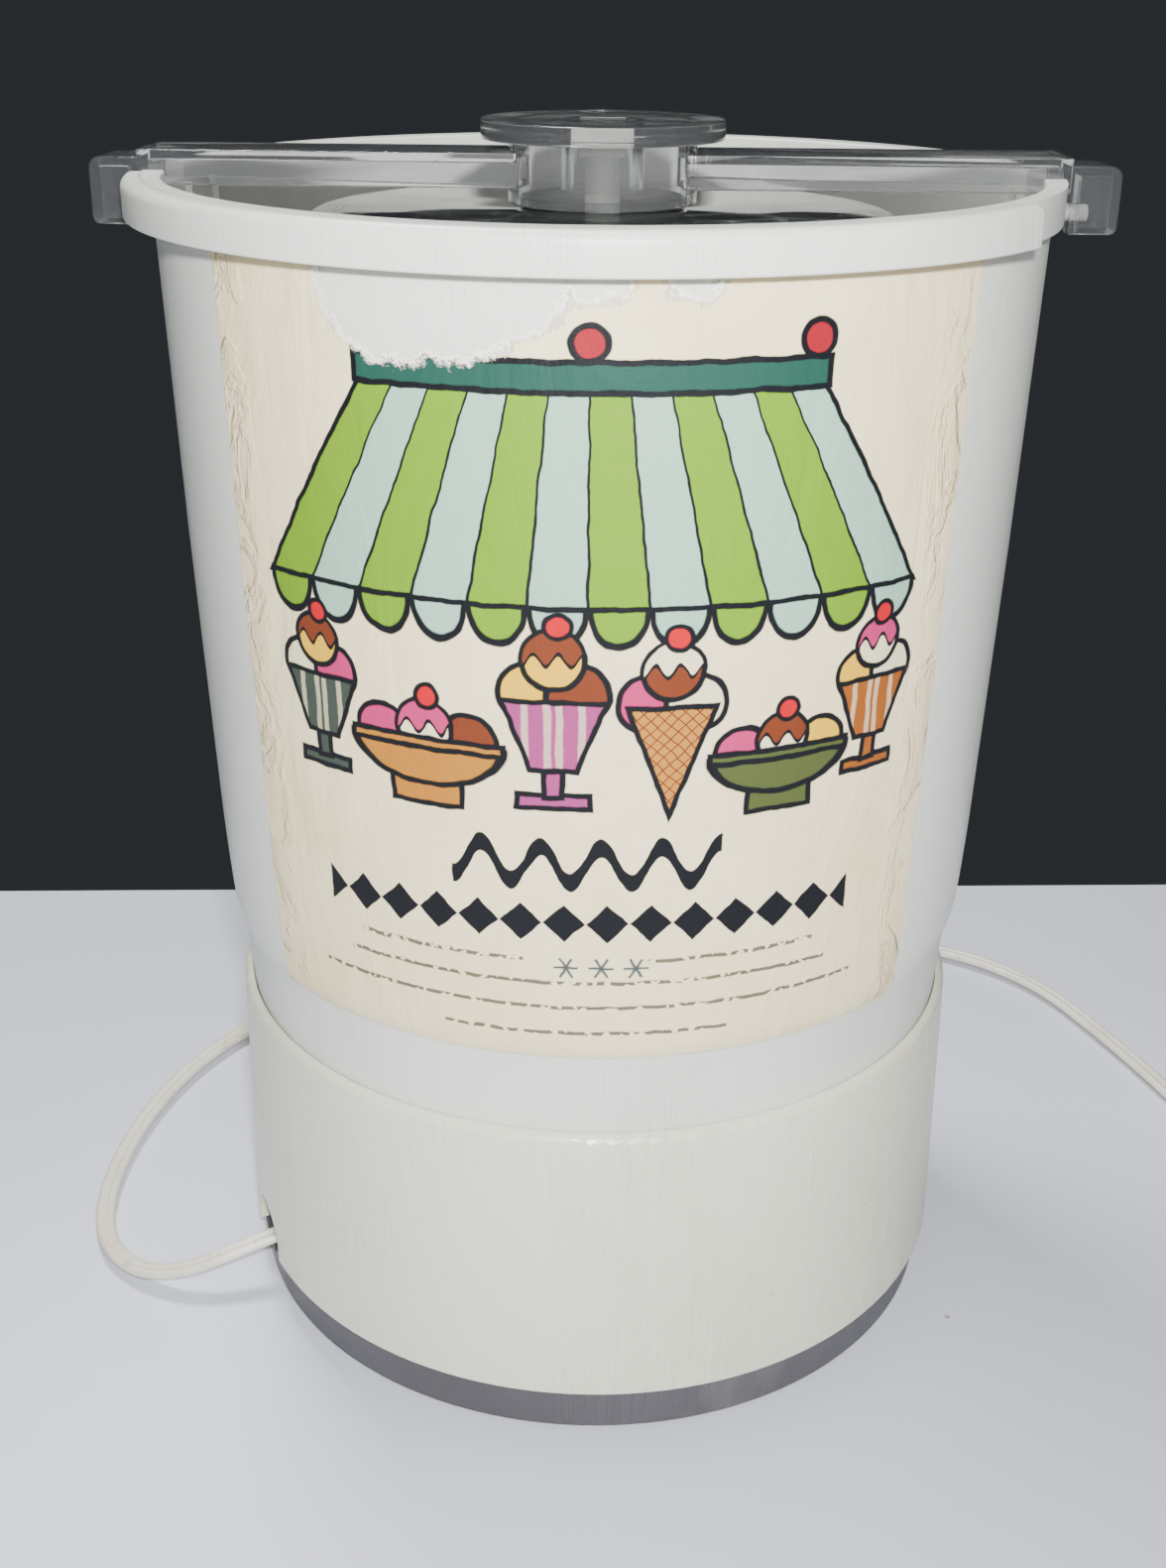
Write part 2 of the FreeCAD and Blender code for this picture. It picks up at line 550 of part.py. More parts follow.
def gearbox(centres):
    """The case, cover, idler pins, screws and output bushes."""
    outer = block("size.case_left", "size.case_right", "size.case_front", "size.case_back",
                  "size.case_bottom", "size.cover_bottom")
    inner = block("size.case_left + size.case_wall", "size.case_right - size.case_wall",
                  "size.case_front + size.case_wall", "size.case_back - size.case_wall",
                  "size.case_bottom + size.case_floor", "size.cover_bottom + 1")
    corners = [(f"size.case_{side} {inward_x} size.case_boss_radius",
                f"size.case_{end} {inward_y} size.case_boss_radius")
               for side, inward_x in (("left", "+"), ("right", "-"))
               for end, inward_y in (("front", "+"), ("back", "-"))]
    bosses = [cylinder("size.case_boss_radius", "size.case_bottom", "size.cover_bottom", x, y)
              for x, y in corners]
    seat = cylinder("size.bush_seat_radius", "size.case_bottom", "size.lower_bush_top")
    screw_holes = [cylinder("size.case_screw_radius", "size.case_bottom - 1", "size.case_screw_top", x, y)
                   for x, y in corners]
    motor_x, motor_y = (str(round(part, PLACES)) for part in (centres["motor"].x, centres["motor"].y))
    shaft_hole = cylinder("size.motor_shaft_radius + size.gear_gap", "size.case_bottom - 1",
                          "size.case_bottom + size.case_floor + 1", motor_x, motor_y)
    motor_holes = [cylinder("size.motor_screw_radius", "size.case_bottom - 1",
                            "size.case_bottom + size.case_floor + 1", motor_x,
                            f"{motor_y} {sign} size.motor_screw_offset") for sign in "+-"]
    bush_hole = cylinder("size.bush_radius", "size.case_bottom + size.case_floor",
                         "size.lower_bush_top + 1")
    pins = []
    for name in ("first", "second"):
        x, y = (str(round(part, PLACES)) for part in (centres[name].x, centres[name].y))
        pins.append(cylinder(f"size.{name}_pin_radius", "size.case_bottom + size.case_floor",
                             "size.cover_bottom", x, y))
    case = cut(fuse(cut(outer, inner), seat, *bosses), *screw_holes, shaft_hole, *motor_holes,
               bush_hole)
    node(case, "gearbox_case")
    node(group(*pins), "gear_pins")

    lid = block("size.case_left", "size.case_right", "size.case_front", "size.case_back",
                "size.cover_bottom", "size.cover_top")
    lid_holes = [cylinder("size.case_screw_radius", "size.cover_bottom - 1", "size.case_screw_top", x, y)
                 for x, y in corners]
    output_hole = cylinder("size.shaft_bush_radius", "size.cover_bottom - 1", "size.cover_top + 1")
    node(cut(lid, output_hole, *lid_holes), "gearbox_cover")
    screws = []
    for x, y in corners:
        head = cylinder("size.screw_head_radius", "size.case_bottom - size.case_screw_head_height",
                        "size.case_bottom", x, y)
        shank = cylinder("size.case_screw_radius", "size.case_bottom", "size.deck_underside", x, y)
        screws.append(fuse(head, shank))
    node(group(*screws), "gearbox_screws")
    lower = tube("size.bush_radius", "size.spindle_radius + size.running_gap",
                 "size.case_bottom + size.case_floor", "size.lower_bush_top")
    upper = tube("size.shaft_bush_radius", "size.spindle_radius + size.running_gap",
                 "size.cover_bottom", "size.deck_top")
    node(group(lower, upper), "output_bushes")


def output_drive():
    """The output shaft and the coupler that stands on the deck."""
    node(cylinder("size.spindle_radius", "size.case_bottom + size.case_floor + size.gear_gap",
                  "size.coupler_top - size.overcut"), "output_shaft")
    disc = cylinder("size.coupler_radius", "size.coupler_bottom", "size.coupler_top")
    tongue = block("-size.tongue_length / 2", "size.tongue_length / 2", "-size.tongue_width / 2",
                   "size.tongue_width / 2", "size.coupler_top - size.root",
                   "size.coupler_top + size.tongue_rise")
    shaft_hole = cylinder("size.spindle_radius", "size.coupler_bottom - size.overcut",
                          "size.coupler_top - size.overcut")
    node(cut(fuse(disc, tongue), shaft_hole), "drive_coupler")


# ---------------------------------------------------------------- motor

def motor(centres):
    """A shaded-pole motor with its shaft upright, hung under the gearbox."""
    x, y = (str(round(part, PLACES)) for part in (centres["motor"].x, centres["motor"].y))

    def beside(left, right, half_width, bottom, top):
        return block(f"{x} + {left}", f"{x} + {right}", f"{y} - {half_width}", f"{y} + {half_width}",
                     bottom, top)

    def screw_holes(bottom, top):
        return [cylinder("size.motor_screw_radius", bottom, top, x, f"{y} {sign} size.motor_screw_offset")
                for sign in "+-"]

    stack = beside("-size.stack_back", "size.stack_front", "size.stack_half_width", "size.stack_bottom",
                   "size.stack_top")
    bore = cylinder("size.bore_radius", "size.stack_bottom - 1", "size.stack_top + 1", x, y)
    window = beside("size.window_start", "size.window_end", "size.window_half_width",
                    "size.stack_bottom - 1", "size.stack_top + 1")
    flank_cuts = [block(f"{x} + size.window_end", f"{x} + size.stack_front + 1",
                        f"{y} {sign} (size.window_half_width + size.pole_cut_{low})",
                        f"{y} {sign} (size.window_half_width + size.pole_cut_{high})",
                        "size.stack_bottom - 1", "size.stack_top + 1")
                  for sign, low, high in (("-", "far", "near"), ("+", "near", "far"))]
    node(cut(stack, bore, window, *flank_cuts, *screw_holes("size.stack_bottom - 1", "size.stack_top + 1")),
         "motor_stator")

    winding = beside("size.coil_start", "size.coil_end", "size.coil_half_width", "size.coil_bottom",
                     "size.coil_top")
    limb = beside("size.window_end", "size.stack_front", "size.stack_half_width", "size.stack_bottom",
                  "size.stack_top")
    node(cut(winding, limb), "motor_coil")

    brackets = {"lower": ("size.stack_bottom", -1), "upper": ("size.stack_top", 1)}
    bushes = []
    for name, (face, direction) in brackets.items():
        def level(offset):
            return f"{face} {'+' if direction > 0 else '-'} ({offset})"

        def span_of(first, second):
            ends = [level(first), level(second)]
            return ends if direction > 0 else ends[::-1]

        legs = [block(f"{x} - size.bracket_width / 2", f"{x} + size.bracket_width / 2",
                      f"{y} {sign} size.stack_half_width {shift_low}",
                      f"{y} {sign} size.stack_half_width {shift_high}",
                      *span_of("0", "size.bracket_leg"))
                for sign, shift_low, shift_high in (("-", "+ 0", "+ size.bracket_leg_length"),
                                                    ("+", "- size.bracket_leg_length", "+ 0"))]
        span = block(f"{x} - size.bracket_width / 2", f"{x} + size.bracket_width / 2",
                     f"{y} - size.stack_half_width", f"{y} + size.stack_half_width",
                     *span_of("size.bracket_leg", "size.bracket_leg + size.bracket_sheet"))
        hub = cylinder("size.bracket_hub_radius",
                       *span_of("size.bracket_leg", "size.bracket_leg + size.bracket_hub_height"), x, y)
        hole = cylinder("size.motor_bush_radius",
                        *span_of("0", "size.bracket_leg + size.bracket_hub_height + 1"), x, y)
        holes = screw_holes(*span_of("-1", "size.bracket_leg + size.bracket_sheet + 1"))
        node(cut(fuse(*legs, span, hub), hole, *holes), f"{name}_bearing_bracket")
        bushes.append(tube("size.motor_bush_radius", "size.motor_shaft_radius + size.running_gap",
                           *span_of("size.bracket_leg", "size.bracket_leg + size.bracket_hub_height"), x, y))
    node(group(*bushes), "motor_bushes")

    low = "size.stack_bottom - size.bracket_leg - size.bracket_sheet"
    screws = []
    for sign in "+-":
        side = f"{y} {sign} size.motor_screw_offset"
        head = cylinder("size.motor_screw_head", f"{low} - size.motor_screw_head_height", low, x, side)
        shank = cylinder("size.motor_screw_radius", low, "size.case_bottom + size.case_floor + 1", x, side)
        screws.append(fuse(head, shank))
    node(group(*screws), "motor_screws")
    spacers = [tube("size.motor_screw_head", "size.motor_screw_radius",
                    "size.stack_top + size.bracket_leg + size.bracket_sheet", "size.case_bottom", x,
                    f"{y} {sign} size.motor_screw_offset") for sign in "+-"]
    node(group(*spacers), "motor_spacers")

    shaft = cylinder("size.motor_shaft_radius", "size.motor_shaft_bottom", "size.level_one + size.thin_face",
                     x, y)
    node(shaft, "motor_shaft")
    node(tube("size.rotor_radius", "size.motor_shaft_radius", "size.stack_bottom - size.rotor_overhang",
              "size.stack_top + size.rotor_overhang", x, y), "motor_rotor")
    hub = tube("size.fan_hub_radius", "size.motor_shaft_radius", "size.fan_bottom",
               "size.fan_bottom + size.fan_height", x, y)
    blades = []
    for index in range(int(size("fan_blades"))):
        blade = primitive("Box", (x, y, "size.fan_bottom"), Length="size.fan_radius",
                          Width="size.fan_blade_thickness", Height="size.fan_height")
        blade.Placement.Rotation = Rotation(Vector(0, 0, 1), index * FULL_TURN / size("fan_blades"))
        blades.append(blade)
    core = cylinder("size.motor_shaft_radius", "size.fan_bottom - size.overcut",
                    "size.fan_bottom + size.fan_height + size.overcut", x, y)
    node(cut(fuse(hub, *blades), core), "cooling_fan")

    low = "size.coil_bottom + size.cutout_lift"
    node(beside("size.coil_end", "size.coil_end + size.cutout_height", "size.cutout_length / 2", low,
                f"{low} + size.cutout_width"), "overload_cutout")
    nuts = [primitive("Cone", ("size.nut_x", f"size.nut_y {sign} size.nut_spacing / 2", "size.plate_top"),
                      Radius1="size.nut_radius", Radius2="size.nut_tip_radius",
                      Height="size.nut_height") for sign in "+-"]
    node(group(*nuts), "wire_connectors")


# ---------------------------------------------------------------- bucket

def bucket():
    """The ice bucket: skirt, cone, turned-down rim bands, bar pegs, boss and inner ribs."""
    body = new_body("bucket")
    wall = "size.bucket_wall"
    revolve(body, [
        ("size.skirt_radius", "size.skirt_bottom"), ("size.crease_radius", "size.crease_height"),
        ("size.knee_radius", "size.knee_height"), ("size.cone_foot_radius", "size.cone_foot_height"),
        ("size.waist_radius", "size.waist_height"), ("size.cone_top_radius", "size.collar_underside"),
        ("size.stub_radius", "size.collar_underside"), ("size.stub_radius", "size.rim_top"),
        (f"size.cone_top_radius - {wall}", "size.rim_top"),
        (f"size.waist_radius - {wall}", "size.waist_height"),
        (f"size.cone_foot_radius - {wall}", "size.cone_foot_height"),
        (f"size.crease_radius - {wall}", "size.bucket_floor_top"),
        ("size.bush_radius", "size.bucket_floor_top"), ("size.bush_radius", "size.boss_bottom"),
        ("size.boss_radius", "size.boss_bottom"), ("size.boss_radius", "size.bucket_floor_underside"),
        (f"size.crease_radius - {wall}", "size.bucket_floor_underside"),
        (f"size.skirt_radius - {wall}", "size.skirt_bottom")])
    band = revolve(body, [
        ("size.stub_radius - size.root", "size.rim_top - size.rim_thickness"),
        (f"size.band_radius - {wall}", "size.rim_top - size.rim_thickness"),
        (f"size.band_radius - {wall}", "size.band_bottom"), ("size.band_radius", "size.band_bottom"),
        ("size.band_radius", "size.rim_top"), ("size.stub_radius - size.root", "size.rim_top")],
        angle="size.band_sweep", spin=size("band_start"))
    polar(body, band, 2)
    seat = new_sketch(body, "YZ_Plane")
    rectangle(seat, "-size.bar_notch_half_width", "size.bar_notch_half_width", "size.bar_notch_floor",
              "size.rim_top + size.overcut")
    pocket(body, seat, Midplane=True)
    peg = new_sketch(body, "YZ_Plane", lift="size.peg_root")
    circle(peg, "0", "size.peg_height", "size.peg_radius")
    stub = feature(body, "Pad", peg, Length="size.peg_tip - size.peg_root")
    polar(body, stub, 2)
    inner_foot = f"size.crease_radius - {wall}"
    inner_top = f"size.cone_foot_radius - {wall}"
    outline_of_rib = [
        (f"{inner_foot} - size.rib_depth", "size.bucket_floor_top - size.root"),
        (f"{inner_foot} + size.root", "size.bucket_floor_top - size.root"),
        (f"{inner_top} + size.root", "size.cone_foot_height"),
        (f"size.waist_radius - {wall} + size.root", "size.waist_height"),
        (f"size.cone_top_radius - {wall} + size.root", "size.rib_top"),
        (f"size.cone_top_radius - {wall} - size.rib_depth", "size.rib_top"),
        (f"size.waist_radius - {wall} - size.rib_depth", "size.waist_height"),
        (f"{inner_top} - size.rib_depth", "size.cone_foot_height")]
    for place in ("near", "middle", "far"):
        rib = revolve(body, outline_of_rib, angle="size.rib_width_angle", spin=size(f"rib_{place}_angle"))
        polar(body, rib, 2)
    return node(body, "bucket")


def between(low, high, height):
    """The radius of the wall at a height between two named places of its outline."""
    share = f"({height} - size.{low}_height) / (size.{high}_height - size.{low}_height)"
    return f"size.{low}_radius + (size.{high}_radius - size.{low}_radius) * {share}"


def front_label():
    """The paper label: a thin sheet wrapped round the front of the cone."""
    body = new_body("front_label")
    near = "size.label_gap"
    far = "size.label_gap + size.label_thickness"
    foot = between("crease", "knee", "size.label_bottom")
    head = f"size.waist_radius + (size.cone_top_radius - size.waist_radius)"
    head += " * (size.label_top - size.waist_height) / (size.collar_underside - size.waist_height)"
    path = [(foot, "size.label_bottom"), ("size.knee_radius", "size.knee_height"),
            ("size.cone_foot_radius", "size.cone_foot_height"),
            ("size.waist_radius", "size.waist_height"), (head, "size.label_top")]
    outside = [(f"{radius} + {far}", height) for radius, height in path]
    inside = [(f"{radius} + {near}", height) for radius, height in reversed(path)]
    revolve(body, outside + inside, angle="size.label_sweep",
            spin=size("label_middle") - size("label_sweep") / 2)
    return node(body, "front_label")


def bucket_drive():
    """The spindle through the bucket's floor with its bush, seal, clip and driven coupler."""
    node(tube("size.bush_radius", "size.spindle_radius + size.running_gap", "size.bush_bottom",
              "size.bucket_floor_top"), "spindle_bush")
    node(tube("size.seal_radius", "size.spindle_radius + size.running_gap", "size.bucket_floor_top",
              "size.seal_top"), "shaft_seal")
    round_part = cylinder("size.spindle_radius", "size.spindle_bottom", "size.square_bottom")
    square = block("-size.spindle_square / 2", "size.spindle_square / 2", "-size.spindle_square / 2",
                   "size.spindle_square / 2", "size.square_bottom", "size.spindle_top")
    node(fuse(round_part, square), "drive_spindle")
    node(tube("size.clip_radius", "size.spindle_radius", "size.clip_bottom - size.clip_thickness",
              "size.clip_bottom"), "spindle_clip")
    bottom = "size.coupler_top + size.coupler_play"
    disc = cylinder("size.coupler_radius", bottom, "size.driven_top")
    slot = block("-size.tongue_length / 2 - size.coupler_play", "size.tongue_length / 2 + size.coupler_play",
                 "-size.tongue_width / 2 - size.coupler_play", "size.tongue_width / 2 + size.coupler_play",
                 f"{bottom} - 1", "size.coupler_top + size.tongue_rise + size.coupler_play")
    shaft_hole = cylinder("size.spindle_radius", "size.spindle_bottom", "size.driven_top + 1")
    node(cut(disc, slot, shaft_hole), "driven_coupler")


# ---------------------------------------------------------------- can, lid and dasher

def can():
    """The drawn aluminium can with its drive socket and centre pivot."""
    body = new_body("can")
    sheet_metal = "size.can_sheet"
    revolve(body, [
        ("0", "size.can_bottom"), ("size.can_foot_radius - size.can_heel", "size.can_bottom"),
        ("size.can_foot_radius", "size.can_bottom + size.can_heel"),
        ("size.can_top_radius", "size.can_bead_bottom"), ("size.can_bead_radius", "size.can_bead_bottom"),
        ("size.can_bead_radius", "size.can_top"), (f"size.can_top_radius - {sheet_metal}", "size.can_top"),
        (f"size.can_foot_radius - {sheet_metal}", "size.can_bottom + size.can_heel"),
        (f"size.can_foot_radius - size.can_heel - size.heel_share * {sheet_metal}",
         f"size.can_bottom + {sheet_metal}"),
        ("0", f"size.can_bottom + {sheet_metal}")])
    node(body, "can")
    block_round = cylinder("size.socket_radius", "size.socket_bottom", "size.can_bottom")
    half = "size.spindle_square / 2 + size.socket_play"
    hole = block(f"-({half})", half, f"-({half})", half, "size.socket_bottom - 1", "size.socket_hole_top")
    node(cut(block_round, hole), "can_socket")
    floor = "size.can_bottom + size.can_sheet"
    node(fuse(cylinder("size.pivot_flange_radius", floor, f"{floor} + size.pivot_flange"),
              cylinder("size.pivot_radius", floor, "size.pivot_top")), "can_pivot")


def can_lid():
    """The clear lid: a flat panel with a skirt outside the can, a ring inside it and a collar on top."""
    body = new_body("can_lid")
    ring_inner = "size.lid_ring_radius - size.lid_wall"
    skirt_inner = "size.lid_radius - size.lid_wall"
    revolve(body, [
        ("size.lid_hole_radius", "size.lid_underside"), (ring_inner, "size.lid_underside"),
        (ring_inner, "size.lid_ring_bottom"), ("size.lid_ring_radius", "size.lid_ring_bottom"),
        ("size.lid_ring_radius", "size.lid_underside"), (skirt_inner, "size.lid_underside"),
        (skirt_inner, "size.lid_skirt_bottom"), ("size.lid_radius", "size.lid_skirt_bottom"),
        ("size.lid_radius", "size.lid_top"), ("size.collar_radius", "size.lid_top"),
        ("size.collar_radius", "size.collar_top"),
        ("size.collar_radius - size.collar_wall", "size.collar_top"),
        ("size.collar_radius - size.collar_wall", "size.lid_top"),
        ("size.lid_hole_radius", "size.lid_top")])
    node(body, "can_lid")


def dasher():
    """The dasher: a stem with a square head, open arms, side bars and two scraper blades."""
    stem = cylinder("size.stem_radius", "size.dasher_bottom", "size.stem_top")
    head = block("-size.head_width / 2", "size.head_width / 2", "-size.head_width / 2",
                 "size.head_width / 2", "size.stem_top", "size.head_top")
    hub = cylinder("size.dasher_hub_radius", "size.dasher_bottom", "size.dasher_hub_top")
    bore = cylinder("size.dasher_bore", "size.dasher_bottom - 1", "size.dasher_bore_top")
    arms = []
    for index in range(int(size("arm_count"))):
        low = f"size.arm_first + {index} * size.arm_pitch"
        arms.append(block("-size.arm_reach", "size.arm_reach", "-size.arm_half_width",
                          "size.arm_half_width", low, f"{low} + size.arm_thickness"))
    top = "size.arm_first + (size.arm_count - 1) * size.arm_pitch + size.arm_thickness"
    sides = [block("size.arm_reach - size.side_bar_width", "size.arm_reach", "-size.arm_half_width",
                   "size.arm_half_width", "size.arm_first", top),
             block("-size.arm_reach", "-size.arm_reach + size.side_bar_width", "-size.arm_half_width",
                   "size.arm_half_width", "size.arm_first", top)]
    node(cut(fuse(stem, head, hub, *arms, *sides), bore), "dasher")
    blades = [block("size.arm_reach", "size.blade_tip", "-size.blade_half_width", "size.blade_half_width",
                    "size.blade_bottom", "size.blade_top"),
              block("-size.blade_tip", "-size.arm_reach", "-size.blade_half_width",
                    "size.blade_half_width", "size.blade_bottom", "size.blade_top")]
    node(group(*blades), "scraper_blades")


def both_ends(near, far, half_width, bottom, top):
    """The same block at the +X and the -X end."""
    return [block(near, far, f"-{half_width}", half_width, bottom, top),
            block(f"-({far})", f"-({near})", f"-{half_width}", half_width, bottom, top)]


def lock_bar():
    """The clear bar across the rim: channel, necks, hooks, hub and disc, moulded in one."""
    channel = block("-size.bar_half_length", "size.bar_half_length", "-size.bar_half_width",
                    "size.bar_half_width", "size.bar_bottom", "size.bar_top")
    inner_half = "(size.bar_half_width - size.bar_wall)"
    hollow = block("-size.bar_half_length + size.bar_wall", "size.bar_half_length - size.bar_wall",
                   f"-{inner_half}", inner_half, "size.bar_bottom - size.overcut",
                   "size.bar_top - size.bar_wall")
    neck = both_ends("size.bar_half_length - size.overcut", "size.hook_inner + size.overcut",
                     "size.neck_half_width", "size.neck_bottom", "size.neck_top")
    hooks = both_ends("size.hook_inner", "size.hook_outer", "size.neck_half_width", "size.hook_bottom",
                      "size.neck_top")
    hook_hollows = both_ends("size.hook_inner + size.hook_wall", "size.hook_outer - size.hook_wall",
                             "(size.neck_half_width - size.hook_wall)",
                             "size.hook_bottom - size.overcut", "size.hook_hollow_top")
    slots = both_ends("size.hook_inner - size.overcut", "size.hook_inner + size.hook_wall + size.overcut",
                      "size.hook_slot_half_width", "size.hook_bottom - size.overcut",
                      "size.hook_slot_top")
    hub = cylinder("size.hub_radius", "size.hub_bottom", "size.disc_bottom")
    disc = cylinder("size.disc_radius", "size.disc_bottom", "size.disc_top")
    hub_hollow = cylinder("size.hub_radius - size.hub_wall", "size.hub_bottom - size.overcut",
                          "size.disc_bottom")
    guide = cylinder("size.tube_radius", "size.tube_bottom", "size.disc_bottom + size.overcut")
    bore = cylinder("size.tube_bore", "size.tube_bottom - size.overcut", "size.disc_bottom")
    half = "size.head_pocket / 2"
    head_hole = block(f"-{half}", half, f"-{half}", half, "size.disc_bottom - size.overcut",
                      "size.disc_top + size.overcut")
    shell = cut(fuse(channel, hub, disc, *neck, *hooks), hollow, hub_hollow, *hook_hollows, *slots)
    node(cut(fuse(shell, guide), bore, head_hole), "lock_bar")


# ---------------------------------------------------------------- cord

def rounded_path(points):
    """Straight runs joined by tangent arcs, each as large as its two runs allow."""
    edges = []
    radii = []
    start = points[0]
    for before, corner, after in zip(points, points[1:], points[2:]):
        inward = (corner - before).normalize()
        outward = (after - corner).normalize()
        turn = inward.getAngle(outward)
        shorter = min((corner - before).Length, (after - corner).Length)
        radius = RUN_SHARE * shorter / math.tan(turn / 2)
        radii.append(radius)
        arc_start = corner - inward * (RUN_SHARE * shorter)
        arc_end = corner + outward * (RUN_SHARE * shorter)
        bisector = (outward - inward).normalize()
        centre = corner + bisector * (radius / math.cos(turn / 2))
        middle = centre - bisector * radius
        edges.append(Part.LineSegment(start, arc_start).toShape())
        edges.append(Part.Arc(arc_start, middle, arc_end).toShape())
        start = arc_end
    edges.append(Part.LineSegment(start, points[-1]).toShape())
    return Part.Wire(edges), radii


def cord_tube(label, route):
    """A cord's uncoiled stretch; prints its bends and compares its volume with its length."""
    points = [Vector(*point) for point in route]
    path, radii = rounded_path(points)
    radius = size("cord_width") / 2
    section = Part.Wire(Part.Circle(points[0], points[1] - points[0], radius).toShape())
    swept = path.makePipeShell([section], True, False)
    expected = math.pi * radius ** 2 * path.Length
    print(f"{label}: length {path.Length:.1f}, volume ratio {swept.Volume / expected:.4f}, radii",
          [round(bend) for bend in radii])
    item = doc.addObject("Part::Feature", label)
    item.Shape = swept
    node(item, label)
    return path.Length


def relief():
    """The tapered strain relief inside the cord notch."""
    angle = size("notch_angle")
    outward = polar_point(1, math.radians(angle))
    tip = outward * size("exit_radius") + Vector(0, 0, size("exit_height"))
    item = doc.addObject("Part::Cone", "relief")
    item.setExpression("Radius1", "size.relief_root")
    item.setExpression("Radius2", "size.relief_tip")
    item.setExpression("Height", "size.relief_length")
    item.Placement = Placement(tip - outward * size("relief_length"), Rotation(Vector(0, 0, 1), outward))
    node(item, "strain_relief")


def cord_set():
    """The mains cord, its put-away coil, tie, tail and plug, lying on the standing surface."""
    relief()
    used = cord_tube("power_cord", CORD_ROUTE)
    used += cord_tube("cord_tail", TAIL_ROUTE)
    print(f"left for the coil: {size('cord_total') - used:.0f}")
    x, y = "size.coil_x", "size.coil_y"
    low = "size.coil_lift"
    high = "size.coil_lift + size.coil_height"
    node(tube("size.coil_outer_radius", "size.coil_inner_radius", low, high, x, y), "cord_coil")
    inner_side = f"{x} + size.coil_inner_radius - size.tie_play"
    outer_side = f"{x} + size.coil_outer_radius + size.tie_play"
    wrap = block(f"{inner_side} - size.tie_sheet", f"{outer_side} + size.tie_sheet",
                 f"{y} - size.tie_width / 2", f"{y} + size.tie_width / 2", "0", f"{high} + size.tie_sheet")
    space = block(inner_side, outer_side, f"{y} - size.tie_width", f"{y} + size.tie_width",
                  f"{low} - size.tie_play", f"{high} + size.tie_play")
    node(cut(wrap, space), "cord_tie")
    plug()


def plug():
    """A two-blade plug that lies on the surface past the end of the cord's tail."""
    end = Vector(*TAIL_ROUTE[-1])
    heading = Vector(*TAIL_ROUTE[-1]) - Vector(*TAIL_ROUTE[-2])
    heading.z = 0
    heading.normalize()
    turn = Rotation(Vector(1, 0, 0), heading)
    neck = Part.makeCone(size("plug_mouth"), size("plug_shoulder"), size("plug_neck"), Vector(0, 0, 0),
                         Vector(1, 0, 0))
    shell = Part.makeBox(size("plug_length") - size("plug_neck"), size("plug_width"), size("plug_height"),
                         Vector(size("plug_neck"), -size("plug_width") / 2, -size("plug_height") / 2))
    upright = [edge for edge in shell.Edges if abs(edge.tangentAt(edge.FirstParameter).z) > NEARLY_ONE]
    body = doc.addObject("Part::Feature", "plug_body")
    body.Shape = neck.fuse(shell.makeFillet(size("plug_height") / 4, upright))
    body.Placement = Placement(end, turn)
    node(body, "plug_body")
    blades = []
    for side in (-1, 1):
        corner = Vector(size("plug_length"), side * size("blade_spacing") / 2 - size("plug_blade_sheet") / 2,
                        -size("plug_blade_width") / 2)
        blades.append(Part.makeBox(size("blade_length"), size("plug_blade_sheet"),
                                   size("plug_blade_width"), corner))
    pair = doc.addObject("Part::Feature", "plug_blades")
    pair.Shape = Part.makeCompound(blades)
    pair.Placement = Placement(end, turn)
    node(pair, "plug_blades")


def check_and_write():
    """Stop on any failed object or bad shape, then write every sub-part."""
    doc.recompute()
    for item in doc.Objects:
        bad = [state for state in item.State if state in ("Invalid", "Error")]
        if bad:
            raise RuntimeError(f"{item.Name} ({item.Label}) is {bad}")
    os.makedirs("parts", exist_ok=True)
    for item in nodes:
        shape = item.Shape
        if shape.isNull() or not shape.isValid() or not shape.Solids:
            raise RuntimeError(f"{item.Label} has no valid shape")
        shape.exportStep(f"parts/{item.Label}.step")
        print(f"{item.Label}: solids {len(shape.Solids)}, volume {shape.Volume / 1000:.2f} cm3")


base_plate()
base_shell()
base_fittings()
motor_places = gear_train()
gearbox(motor_places)
output_drive()
motor(motor_places)
bucket()
front_label()
bucket_drive()
can()
can_lid()
dasher()
lock_bar()
cord_set()
check_and_write()
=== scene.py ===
"""The looks of an electric ice cream maker: plastic, clear styrene, aluminium, printed paper and cord.

Metres. The origin is on the standing surface under the middle of the base, +Z is up, the lock bar
lies along X and the label faces -Y.
"""
import json
import math

import bmesh
import bpy
import numpy
from mathutils import Matrix, Vector


